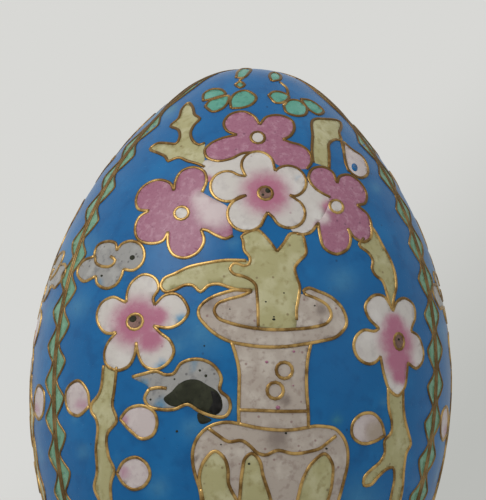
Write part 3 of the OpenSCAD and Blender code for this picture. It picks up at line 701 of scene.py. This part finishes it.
TOP_LEFT = [
    (-5.45, 49.1), (-6.1, 49.45), (-7.3, 49.9), (-8, 50.3), (-8.6, 50.2), (-9.1, 49.95), (-9.5, 50.6),
    (-10.2, 51.1), (-11.1, 51.8), (-10.4, 52.4), (-9.3, 52.25), (-8.45, 52.1), (-8.1, 52.9), (-8.3, 53.9),
    (-9.1, 54.5), (-8.3, 55.5), (-8, 56.8), (-7.3, 57.6), (-6.9, 56.9), (-6.6, 55.7), (-6.1, 55.2), (-6.7, 54.3),
    (-7, 53.3), (-6.7, 52.3), (-6.1, 51.8), (-5.5, 52),
]
TOP_RIGHT = [
    (5.6, 50.4), (5.5, 51.3), (5.6, 53.6), (5.8, 55.9), (7, 56.3), (8.9, 56.4), (8.9, 55.7), (8.6, 54.9),
    (8.7, 53.8), (8.2, 53.8), (7.4, 53.1), (7.35, 51.6), (7.3, 50),
]
RIGHT_UPPER = [
    (11.6, 44.2), (12, 43.8), (13, 42.2), (13.9, 40.7), (14.45, 39), (14.5, 38), (14.2, 36.7), (14.05, 35.7),
    (13.7, 36.3), (13.4, 37.2), (12.9, 38.4), (12.1, 38.9), (11.8, 39.5), (11.9, 40.3), (11.4, 41.1),
    (10.4, 41.8), (10.9, 42.6),
]
LEFT_LOWER = [
    (-13.1, 28.2), (-13.2, 26), (-13.3, 24.4), (-12.8, 22.9), (-13.6, 21.8), (-13.4, 19.5), (-12.75, 18),
    (-13, 17.2), (-12.9, 15.2), (-12.3, 12.4), (-11.9, 10.6), (-12.8, 10.3), (-13.5, 12.2), (-13.9, 14.8),
    (-14.7, 16.6), (-14.5, 17.8), (-14.7, 20), (-14.9, 23.2), (-15.4, 23.9), (-15.4, 24.6), (-14.8, 25.4),
    (-14.4, 28.4),
]
RIGHT_LOWER = [
    (15.5, 27.6), (15.6, 26), (15.9, 24.6), (16.4, 23.3), (16.7, 22.4), (16.3, 21.6), (16.1, 20), (16.1, 18),
    (15.5, 14.8), (14.3, 11.2), (13.4, 11.4), (14.3, 14.4), (14.9, 17.5), (15.05, 19), (14.8, 19.9), (14.2, 19.7),
    (13.3, 18.9), (12.4, 17.95), (11.8, 17.9), (11.75, 18.6), (12.4, 19.4), (13.5, 20.5), (13.8, 21.2),
    (13.7, 22.4), (14.4, 23.3), (14.4, 24.2), (14, 25.5), (13.8, 27.6),
]


def branch(side):
    pads, lines = bmesh.new(), bmesh.new()
    fill_cell(pads, smooth(TRUNK_LEFT) + [Vector((2.3, 32.3))] + smooth([(4.1, 32.45)] + TRUNK_RIGHT)[:-1], 6)
    ribbon(lines, TRUNK_LEFT)
    ribbon(lines, TRUNK_RIGHT)
    for stem in (ARM, TOP_LEFT, RIGHT_UPPER, LEFT_LOWER, RIGHT_LOWER, TOP_RIGHT):
        under = [Vector((0.6, 36.1)), Vector((0.5, 38.9))] if stem is ARM else []
        fill_cell(pads, smooth(stem) + under, 1)
        ribbon(lines, stem)
    ribbon(lines, [(8.7, 54.0), (8.95, 52.5), (9.1, 51.0), (9.45, 50.0)])
    for x, z, r in ((1.9, 33.2, 0.16), (1.05, 34.9, 0.1), (2.8, 35.9, 0.09), (1.9, 33.45, 0.1), (-13.2, 24.9, 0.1),
                    (-2.6, 20.9, 0.08)):
        fill_cell(pads, smooth(ring_at(x, z, r, r * 0.7), True), 7, 1)
    make_pair(side, "branch", pads, [STRAW, SOOT], "branch", lines, RIBBON)


for side in SIDES:
    branch(side)

# %% [markdown]
# ## The vase
# The vase is seen from a little above: an oval rim, the inside of the mouth, a waisted neck
# with two small rings, a collar and a body. A wavy line parts the shoulder from the lower
# body, where tall leaves stand. The inside of the mouth is the same lilac cream as the
# rest, and lies a level above the rim that runs round it.

# %% Outlines of the vase
RIM = [
    (-0.4, 36), (-1.9, 35.95), (-3, 35.65), (-4, 35.25), (-5, 34.55), (-5.45, 33.8), (-5.4, 33.3), (-4.7, 32.35),
    (-3.7, 31.5), (-2.2, 30.8), (-1, 30.6), (1, 30.45), (3, 30.6), (5, 31), (6.5, 31.4), (8.3, 32.1), (9.2, 33.4),
    (8.8, 34.8), (7.6, 35.9), (6.2, 36.4), (5.1, 36.6), (4.75, 36.3), (4.9, 35.95),
]
MOUTH = [
    (-0.4, 35.85), (-1.3, 35.4), (-2.8, 34.9), (-3.6, 34.5), (-3.9, 33.8), (-3.5, 33.1), (-2.5, 32.7),
    (-1, 32.35), (0.5, 32.2), (2, 32.2), (4, 32.4), (6, 32.8), (7.2, 33.3), (7.6, 34), (7.3, 34.9), (6.4, 35.5),
    (5.5, 35.8), (4.9, 35.95),
]
NECK_LEFT = [(-2.1, 30.75), (-1.7, 29.7), (-1.3, 28.3), (-1.15, 26), (-1.1, 24.3), (-1.0, 22.95)]
NECK_RIGHT = [(5.8, 23.0), (5.7, 24.4), (5.45, 26.5), (5.35, 28), (5.4, 29.5), (5.65, 31.1)]
BODY_LEFT = [
    (-1, 22.95), (-2, 23.05), (-2.8, 22.95), (-3.9, 22.5), (-4.8, 21.6), (-5.25, 20.4), (-5.2, 19), (-4.9, 17.9),
    (-4.4, 16.6), (-4.1, 15.3), (-3.2, 12.6), (-2.3, 10.3), (-2.3, 9.6), (-3, 8.6),
]
BODY_RIGHT = [
    (7.6, 8.6), (6.9, 9.6), (7, 10.3), (8.1, 13), (9.2, 16.1), (9.7, 18.3), (9.95, 20), (9.8, 21.4), (9.2, 22.5),
    (8.4, 23.1), (7.5, 23.2), (6.1, 23.1), (5.8, 23),
]
COLLAR_LINES = [[(-1.1, 24.25), (0.5, 24.3), (3, 24.35), (5.7, 24.55)],
                [(-1.0, 22.95), (0.5, 22.7), (2.4, 22.55), (4.2, 22.65), (5.8, 23.0)]]
SHOULDER = [
    (-3.9, 22.4), (-3, 21.8), (-1.9, 21.2), (-0.6, 21.35), (0.3, 20.8), (0.9, 20.3), (1.7, 20.1), (2.8, 20.6),
    (4.5, 20.4), (6, 20.7), (7.1, 21.1), (7.7, 21.6), (8.6, 22.4),
]
TALL_LEAVES = [
    [(-4.3, 16.6), (-4.5, 17.8), (-4.1, 19.3), (-3.1, 20.25), (-2.2, 19.6), (-1.8, 18.6), (-1.65, 17.2),
     (-1.1, 16.2), (-0.7, 15.6)],
    [(-0.6, 14), (-0.5, 16), (-0.4, 18.6), (-0.2, 19.7), (0.4, 20.2), (1.1, 19.7), (1.6, 18.2), (2.4, 16.2),
     (2.9, 14.6)],
    [(4.9, 14.6), (5.2, 16.4), (5.6, 18.2), (6.5, 19.8), (7.6, 20.6), (8.35, 19.8), (8.5, 18.4), (8.4, 17.2),
     (8, 15.6)],
]
LEAF_FEET = [
    [(-0.7, 15.6), (-1.5, 12.6), (-2.4, 11.6), (-3.6, 14.2), (-4.3, 16.6)],
    [(2.9, 14.6), (2.2, 11.6), (0.4, 11.4), (-0.6, 14)],
    [(8, 15.6), (6.6, 12.2), (5.6, 12), (4.9, 14.6)],
]
BODY_SHADE = near([(2.8, 21.8, 1.0), (-4.4, 34.6, 0.7), (-4.9, 19.4, 0.3), (3.4, 25.4, 0.5), (6.6, 34.6, 0.5)], 1.2)


def vase(side):
    pads, lines = bmesh.new(), bmesh.new()
    fill_cell(pads, smooth(RIM), 1, 0, BODY_SHADE)
    fill_cell(pads, smooth(MOUTH), 3, 0, BODY_SHADE)
    fill_cell(pads,
              outline([NECK_LEFT, BODY_LEFT, [(-3.0, 8.6), (2.3, 8.3), (7.6, 8.6)], BODY_RIGHT, NECK_RIGHT,
                       [(5.65, 31.1), (2, 30.6), (-2.1, 30.75)]]),
              0.5, 0, BODY_SHADE)
    for leaf, foot in zip(TALL_LEAVES, LEAF_FEET):
        fill_cell(pads, outline([leaf, foot]), 2, 1)
        ribbon(lines, leaf)
        ribbon(lines, foot)
    for line in [RIM, MOUTH, NECK_LEFT, NECK_RIGHT, BODY_LEFT, BODY_RIGHT, SHOULDER] + COLLAR_LINES:
        ribbon(lines, line)
    ribbon(lines, [(-3.0, 8.6), (2.3, 8.3), (7.6, 8.6)])
    ribbon(lines, [(-2.3, 10.1), (2.3, 9.8), (6.9, 10.1)])
    for x, z in ((3.15, 28.3), (2.35, 26.3)):
        ribbon(lines, ring_at(x, z, 0.8), True)
    for x, z, r, slot in ((1.4, 29.0, 0.16, 2), (4.0, 30.2, 0.14, 2), (2.7, 24.7, 0.22, 2), (3.6, 22.3, 0.12, 3),
                          (5.9, 34.9, 0.1, 3),
                          (0.2, 19.2, 0.13, 3), (-2.4, 34.0, 0.08, 3), (4.1, 26.9, 0.08, 2), (7.7, 21.1, 0.12, 3)):
        fill_cell(pads, smooth(ring_at(x, z, r, r * 0.8), True), 3.6, slot)
    make_pair(side, "vase", pads, [LILAC, STRAW, MAGENTA, SOOT], "vase", lines, RIBBON)


for side in SIDES:
    vase(side)

# %% [markdown]
# ## Buds, leaves and clouds
# Small pale buds hang on the stems, green leaves lie near the tip, and two grey clouds float
# at the left. In one cloud the glass has come away and a dark hollow is left. Each of them
# is a closed line with a pad in it.

# %% Outlines of the small cells
BUDS = [
    [(-15.6, 24.4), (-15.9, 25.9), (-17, 27), (-18, 26.3), (-18.1, 25.1), (-17.6, 23.9), (-16.8, 23.5),
     (-15.6, 24.4)],
    [(-12.5, 23.1), (-11.7, 24.1), (-10.4, 24.4), (-9.2, 23.8), (-8.85, 22.7), (-9.3, 21.5), (-10.2, 21.2),
     (-11.3, 21.9), (-12.5, 23.1)],
    [(-12.5, 17.9), (-11.9, 19), (-10.8, 19.45), (-9.7, 18.9), (-9.25, 17.8), (-9.8, 16.7), (-10.8, 16.35),
     (-11.8, 16.9), (-12.5, 17.9)],
    [(13.7, 22.9), (13.2, 24.2), (12.3, 24.9), (11.1, 24.7), (10.2, 23.6), (10.3, 22.5), (11.3, 21.9),
     (12.6, 22.2), (13.7, 22.9)],
    [(9, 53.7), (9, 52.6), (9.1, 51.4), (9.5, 50.1), (10.7, 49.55), (11.6, 50.3), (11.6, 51.4), (11.1, 52.4),
     (10, 52.95), (9, 53.7)],
]
LEAVES = [
    [(-5.8, 57.6), (-5.8, 58.6), (-4.9, 59.3), (-3.9, 59.1), (-3.5, 58.5), (-4.5, 58), (-5.8, 57.6)],
    [(-5.6, 56.8), (-4.8, 56), (-3.7, 56.5), (-3.2, 58.2), (-4.3, 57.9), (-5.2, 57.5), (-5.6, 56.8)],
    [(-2.9, 56.4), (-3, 57.6), (-2.4, 58.6), (-1.45, 58.95), (-0.3, 58), (-0.7, 57.1), (-1.5, 56.6),
     (-2.9, 56.4)],
    [(1, 58.4), (1.5, 59), (2.3, 59.1), (3.2, 58.6), (2.6, 57.7), (1.8, 57.45), (1, 58.4)],
    [(2.6, 57.2), (3.1, 58), (4.2, 58.2), (5.1, 57.4), (4.9, 56.4), (3.9, 56), (2.8, 56.4), (2.6, 57.2)],
    [(4.5, 58.5), (5.4, 58.6), (6.4, 58.1), (7, 57.4), (6.3, 56.7), (5.4, 57.1), (4.5, 58.5)],
    [(-2.5, 59.8), (-2, 60.3), (-1.5, 59.8), (-2, 59.3), (-2.5, 59.8)],
    [(-2.4, 60.9), (-2.2, 62), (-1.4, 62.9), (-0.8, 62.7), (-1.1, 61.6), (-1.6, 60.9), (-2.4, 60.9)],
    [(1.4, 60.6), (1.2, 61.6), (1.7, 62.3), (2.4, 61.9), (2.3, 61), (1.4, 60.6)],
]
FAR_CLOUD = [
    [(-13.8, 40.2), (-14, 41), (-14.8, 41.3), (-15.8, 41), (-16.1, 40.2), (-16.1, 39.8)],
    [(-16.1, 39.8), (-17.2, 39.5), (-17.8, 38.3), (-17, 37.2), (-15.8, 37.6)],
    [(-15.8, 37.6), (-15.6, 36.8), (-14.6, 36.2), (-13.6, 36.6), (-13.2, 37.3), (-13, 38.1)],
    [(-13, 38.1), (-12, 37.95), (-11.2, 38.6), (-11, 39.6), (-11.5, 40.7), (-12.5, 41.1), (-13.4, 40.8),
     (-13.8, 40.2)],
]
NEAR_CLOUD = [
    (-11.5, 27.2), (-10.4, 27.5), (-9.2, 27.75), (-8.2, 27.4), (-7.6, 27.5), (-6.9, 28.5), (-5.3, 29),
    (-3.8, 28.5), (-2.9, 27.2), (-3, 26.1), (-2.1, 25.3), (-1.9, 24.4), (-2.3, 23.6), (-3.1, 23.5), (-4.1, 23.7),
    (-4.9, 24), (-6, 24.6), (-7.25, 24.1), (-8.5, 24.05), (-9.8, 24.4), (-10.2, 25.1), (-9.8, 26),
]
HOLLOW = [
    (-8.35, 25.05), (-7.6, 25.8), (-7, 26.5), (-6.2, 26.95), (-5.2, 27), (-4.2, 26.5), (-3.2, 25.9), (-2.7, 25),
    (-2.75, 24.1), (-3.3, 23.65), (-4.2, 23.8), (-5, 24.1), (-6, 24.7), (-6.9, 24.35), (-7.8, 24.5),
]
CLOUD_BLUE = near([(-8.6, 24.6, 0.5), (-5.6, 28.4, 0.35), (-10.4, 26.5, 0.45), (-15.6, 36.9, 0.4)], 1.2)


def buds(side):
    pads, lines = bmesh.new(), bmesh.new()
    rose = near([(-12.2, 23.0, 0.5), (-16.4, 24.6, 0.5), (-11.8, 17.9, 0.5)], 1.4)
    for bud in BUDS:
        fill_cell(pads, smooth(bud)[:-1], 2, 0, rose, near([(13.0, 23.0, 1.3)], 0.9))
        ribbon(lines, bud)
    fill_cell(pads, smooth(ring_at(10.1, 50.7, 0.34, 0.5), True), 3, 1)
    make_pair(side, "bud", pads, [BUD, BLUE], "bud", lines, RIBBON)


def leaves(side):
    pads, lines = bmesh.new(), bmesh.new()
    for leaf in LEAVES:
        fill_cell(pads, smooth(leaf)[:-1], 2)
        ribbon(lines, leaf)
    ribbon(lines, [(-2.1, 60.4), (-1.8, 60.7), (-1.5, 61.0)])
    ribbon(lines, [(3.1, 58.8), (3.0, 59.8), (2.3, 60.6)])
    make_pair(side, "leaf", pads, [LEAF], "leaf", lines, RIBBON)


def clouds(side):
    pads, lines = bmesh.new(), bmesh.new()
    fill_cell(pads, outline(FAR_CLOUD), 1, 0, CLOUD_BLUE)
    for arc in FAR_CLOUD + [[(-16.0, 39.8), (-15.9, 39.1), (-15.2, 38.6), (-14.2, 38.6), (-13.9, 39.1),
                             (-14.4, 39.6)]]:
        ribbon(lines, arc)
    fill_cell(pads, smooth(NEAR_CLOUD, True), 1, 0, CLOUD_BLUE)
    ribbon(lines, NEAR_CLOUD)
    ribbon(lines, [(-9.8, 26.0), (-9.0, 26.15), (-8.1, 26.1)])
    fill_cell(pads, smooth(HOLLOW, True), 2, 1)
    fill_cell(pads,
              smooth([(-3.8, 26.0), (-3.2, 25.7), (-2.8, 24.9), (-2.8, 24.2), (-3.3, 23.75), (-3.9, 24.0),
                      (-3.6, 24.9)], True), 3, 2)
    fill_cell(pads,
              smooth([(-5.0, 23.8), (-4.2, 23.5), (-3.6, 23.2), (-4.0, 22.9), (-4.7, 22.8), (-5.0, 23.3)], True), 2,
              1)
    for x, z, r in ((-12.2, 39.3, 0.26), (-6.9, 22.0, 0.12), (-15.2, 37.6, 0.12), (-5.0, 27.9, 0.12),
                    (-4.4, 27.4, 0.14), (-9.6, 25.0, 0.1),
                    (-7.4, 27.0, 0.09), (-4.7, 30.3, 0.08)):
        fill_cell(pads, smooth(ring_at(x, z, r), True), 2, 1)
    make_pair(side, "cloud", pads, [GREY, SOOT, CRUST], "cloud", lines, RIBBON)


for side in SIDES:
    buds(side)
    leaves(side)
    clouds(side)

# %% [markdown]
# ## The scalloped border
# A row of green scallops follows each edge of a panel and closes in on the tip. A scallop's
# place is easier to give as a distance in from the edge than in the front elevation, so a
# helper turns that distance into the elevation. One wavy ribbon makes the whole row.

# %% Make the border
def from_edge(distance, z, hand):
    """A point of the elevation at a distance in from the left (-1) or right (1) edge."""
    radius = egg_at(z)[0]
    return hand * radius * math.sin(math.radians(60) - distance / radius), z


PITCH = 3.7
FIRST_LEFT, FIRST_RIGHT = 6.9, 6.2
BORDER_TOP = 62.2


def scallop_row(first, hand):
    """Points of the wavy line up an edge: from valley to valley past each scallop's point."""
    line, z = [], first
    while z < 56.5:
        for distance, rise in ((0.55, -1.85), (1.15, -1.25), (1.75, -0.55), (2.0, 0.0), (1.65, 0.45), (0.95, 1.1),
                               (0.6, 1.6)):
            line.append(from_edge(distance, z + rise, hand))
        z += PITCH
    for z, distance in ((59.0, 1.1), (60.2, 1.3), (61.3, 1.1), (BORDER_TOP, 0.8)):
        line.append(from_edge(distance, z, hand))
    return line


def border(side):
    pads, lines = bmesh.new(), bmesh.new()
    for hand, first in ((-1, FIRST_LEFT), (1, FIRST_RIGHT)):
        first += PITCH / 2 if side == "left" and hand == -1 else 0
        row = scallop_row(first, hand)
        low, high = first - PITCH / 2, BORDER_TOP
        back = [from_edge(0.1, high + (low - high) * i / 60, hand) for i in range(61)]
        fill_cell(pads, [Vector(p) for p in smooth(row)] + [Vector(p) for p in back], 1)
        lay_ribbon(lines, [face_of_egg(*p) for p in smooth(row)], False, SCALLOP_RIBBON_W)
    make_pair(side, "scallop", pads, [GREEN], "scallop", lines, DULL_RIBBON)


for side in SIDES:
    border(side)
print("scallops up an edge:", len(scallop_row(FIRST_LEFT, 1)) // 7)

# %% [markdown]
# ## The frame wires
# A ribbon runs round each whole panel. Two of them lie side by side between neighbouring
# panels, and all six meet at the tip. At the bottom each closes along the foot. The line is
# built on the egg itself: at every height it keeps the same distance from the panel's edge.

# %% Lay the frame wires
FOOT_LINE = 6.85
FOOT_Z = BASE_R - math.sqrt(BASE_R ** 2 - FOOT_LINE ** 2)
IN_FROM_EDGE = 0.205


def frame_path():
    heights = [FOOT_Z + (EGG_H - 0.004 - FOOT_Z) * math.sin(math.pi / 2 * i / 150) for i in range(151)]
    rise, path = [], []
    for z in heights:
        radius, (out, up) = egg_at(z)
        if radius < IN_FROM_EDGE / math.sin(math.radians(60)):
            continue
        turn = math.radians(60) - math.asin(IN_FROM_EDGE / radius)
        rise.append((radius, turn, z, out, up))
    for hand, steps in ((-1, rise), (1, rise[::-1])):
        for radius, turn, z, out, up in steps:
            normal = Vector((hand * out * math.sin(turn), -out * math.cos(turn), up))
            path.append((Vector((hand * radius * math.sin(turn), -radius * math.cos(turn), z)), normal))
    last = rise[0][1]
    out, up = egg_at(FOOT_Z)[1]
    for i in range(1, 40):
        turn = last - 2 * last * i / 40
        path.append((Vector((FOOT_LINE * math.sin(turn), -FOOT_LINE * math.cos(turn), FOOT_Z)),
                     Vector((out * math.sin(turn), -out * math.cos(turn), up))))
    return path


for side in SIDES:
    lines = bmesh.new()
    lay_ribbon(lines, frame_path(), True)
    make_piece(side + "_frame_ribbon", lines, [DULL_RIBBON], side + "_frame_wire", side)
print("steps round a frame:", len(frame_path()))

# %% [markdown]
# ## The blue ground
# The ground is the largest cell: all of a panel that nothing else fills. Here it is a third
# of a shell, spun from the egg's outline, under the pads of the other cells. Its shade
# holds the hazy places where the blue ran thin, and its stain the green ones.

# %% Spin the ground of each panel
HAZE = near([(-4.9, 31.6, 1.9), (-7.2, 30.4, 1.0), (-17.2, 40.6, 1.6), (-2.0, 24.6, 0.7), (-9.6, 56.6, 0.9),
             (-17.4, 34.6, 1.1), (11.4, 16.4, 1.8),
             (12.4, 48.8, 0.6), (-15.9, 20.0, 0.6), (-8.4, 16.6, 0.9), (8.6, 37.8, 1.2), (-5.4, 22.4, 0.9),
             (-14.2, 31.0, 0.3), (-17.0, 23.1, 0.3), (-12.5, 19.3, 0.3), (-2.2, 40.8, 0.6), (13.4, 26.2, 0.4)], 1.8)
GREENISH = near([(-9.0, 57.2, 0.5), (8.6, 24.0, 0.5), (12.4, 14.0, 1.2), (-7.8, 51.6, 0.4)], 1.6)


def ground(side):
    bm = bmesh.new()
    heights = [FOOT_Z + (EGG_H - FOOT_Z) * math.sin(math.pi / 2 * i / 130) for i in range(131)]
    verts = []
    for z in heights:
        radius, (out, up) = egg_at(min(z, EGG_H - 1e-6))
        verts.append(bm.verts.new((0, -(radius + out * GROUND_LEVEL), z + up * GROUND_LEVEL)))
    edges = [bm.edges.new(pair) for pair in zip(verts, verts[1:])]
    bmesh.ops.rotate(bm, verts=bm.verts, cent=(0, 0, 0), matrix=Matrix.Rotation(math.radians(-60), 3, "Z"))
    bmesh.ops.spin(bm, geom=verts + edges, cent=(0, 0, 0), axis=(0, 0, 1), angle=math.radians(120), steps=90)
    bmesh.ops.remove_doubles(bm, verts=bm.verts, dist=0.001)
    shade, stain = (bm.verts.layers.float.new(n) for n in ("shade", "stain"))
    for vert in bm.verts:
        vert[shade], vert[stain] = 0.6 * HAZE(vert.co.x, vert.co.z), 0.6 * GREENISH(vert.co.x, vert.co.z)
    made = bmesh.ops.extrude_face_region(bm, geom=list(bm.faces), use_keep_orig=True)
    inner = [v for v in made["geom"] if isinstance(v, bmesh.types.BMVert)]
    for vert in inner:
        away = Vector((vert.co.x, vert.co.y, vert.co.z - WAIST)).normalized()
        vert.co -= away * GROUND_DEPTH
    make_piece(side + "_blue_ground", bm, [BLUE], side + "_ground", side)


for side in SIDES:
    ground(side)

# %% [markdown]
# ## Floor, light and backdrop
# The egg stands on a pale floor in soft daylight from the upper left. The world gives most
# of the light. To the camera, and in reflections, it is a pale grey with painted shade that
# darkens it a little towards the lower right. Two large soft lamps add a gentle direction.

# %% Set the stage
floor_bm = bmesh.new()
bmesh.ops.create_circle(floor_bm, cap_ends=True, segments=96, radius=1.6)
floor_mesh = bpy.data.meshes.new("pale_floor")
floor_bm.to_mesh(floor_mesh)
floor_bm.free()
floor = bpy.data.objects.new("pale_floor", floor_mesh)
bpy.context.scene.collection.objects.link(floor)
floor_paint, w, shader, where = start_material("floor_paper", 0.85)
w.join(w.mix(w.ramp(w.noise(where, 6.0, 3.0), 0.3, 0.7), paint(206, 206, 203), paint(212, 212, 210)),
       shader.inputs["Base Color"])
floor_mesh.materials.append(floor_paint)

world = bpy.data.worlds.new("studio")
bpy.context.scene.world = world
world.use_nodes = True
w = Wires(world.node_tree)
light_shader = world.node_tree.nodes["Background"]
seen_shader = world.node_tree.nodes.new("ShaderNodeBackground")
w.join((1.0, 1.0, 0.99, 1.0), light_shader.inputs["Color"])
light_shader.inputs["Strength"].default_value = 0.62
way = world.node_tree.nodes.new("ShaderNodeTexCoord").outputs["Generated"]
up_part, right_part = w.height(way)
fall = w.maths("SUBTRACT", right_part, up_part)
# painted shade: the backdrop seen by the camera and in reflections darkens towards the lower right
backdrop_shade = w.ramp(fall, -0.13, 0.1)
w.join(w.mix(backdrop_shade, paint(216, 216, 213), paint(185, 186, 182)), seen_shader.inputs["Color"])
mixer = world.node_tree.nodes.new("ShaderNodeMixShader")
rays = world.node_tree.nodes.new("ShaderNodeLightPath")
seen = w.maths("MAXIMUM", rays.outputs["Is Camera Ray"],
               w.maths("MAXIMUM", rays.outputs["Is Glossy Ray"], rays.outputs["Is Transmission Ray"]))
w.join(seen, mixer.inputs[0])
w.join(light_shader.outputs[0], mixer.inputs[1])
w.join(seen_shader.outputs[0], mixer.inputs[2])
w.join(mixer.outputs[0], world.node_tree.nodes["World Output"].inputs["Surface"])


def lamp(name, place_at, size, power, colour):
    data = bpy.data.lights.new(name, "AREA")
    data.shape, data.size, data.energy, data.color = "DISK", size, power, colour
    thing = bpy.data.objects.new(name, data)
    thing.location = place_at
    thing.rotation_euler = (Vector((0, 0, 0.032)) - Vector(place_at)).to_track_quat("-Z", "Y").to_euler()
    bpy.context.scene.collection.objects.link(thing)


lamp("window", (-0.42, -0.38, 0.52), 0.5, 2.6, (1.0, 0.985, 0.96))
lamp("fill", (0.5, -0.45, 0.3), 0.6, 0.3, (0.96, 0.98, 1.0))
print("lamps:", len(bpy.data.lights))

# %% [markdown]
# ## The camera
# The camera stands close to the floor, about 21 cm off, and looks slightly up with a long
# lens, rolled by nearly three degrees. Its matrix is built from its three directions.

# %% Place the camera
EYE = Vector((-0.00958, -0.21423, 0.00777))
AHEAD = Vector((0.04194, 0.98548, 0.16453)).normalized()
ROLL = math.radians(-2.769)
right = AHEAD.cross(Vector((0, 0, 1))).normalized()
up = right.cross(AHEAD)
right, up = right * math.cos(ROLL) - up * math.sin(ROLL), right * math.sin(ROLL) + up * math.cos(ROLL)
lens = bpy.data.cameras.new("camera")
lens.lens, lens.sensor_width, lens.clip_start = 144.2, 36.0, 0.01
camera = bpy.data.objects.new("camera", lens)
camera.matrix_world = Matrix.Translation(EYE) @ Matrix((right, up, -AHEAD)).transposed().to_4x4()
bpy.context.scene.collection.objects.link(camera)
bpy.context.scene.camera = camera
bpy.context.scene.view_settings.view_transform = "Standard"
print("camera height in mm:", round(EYE.z * 1000, 1))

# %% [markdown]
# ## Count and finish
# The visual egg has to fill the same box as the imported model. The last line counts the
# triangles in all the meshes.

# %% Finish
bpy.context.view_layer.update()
triangles = sum(len(p.vertices) - 2 for o in bpy.data.objects if o.type == "MESH" for p in o.data.polygons)
print("triangles in all:", triangles)
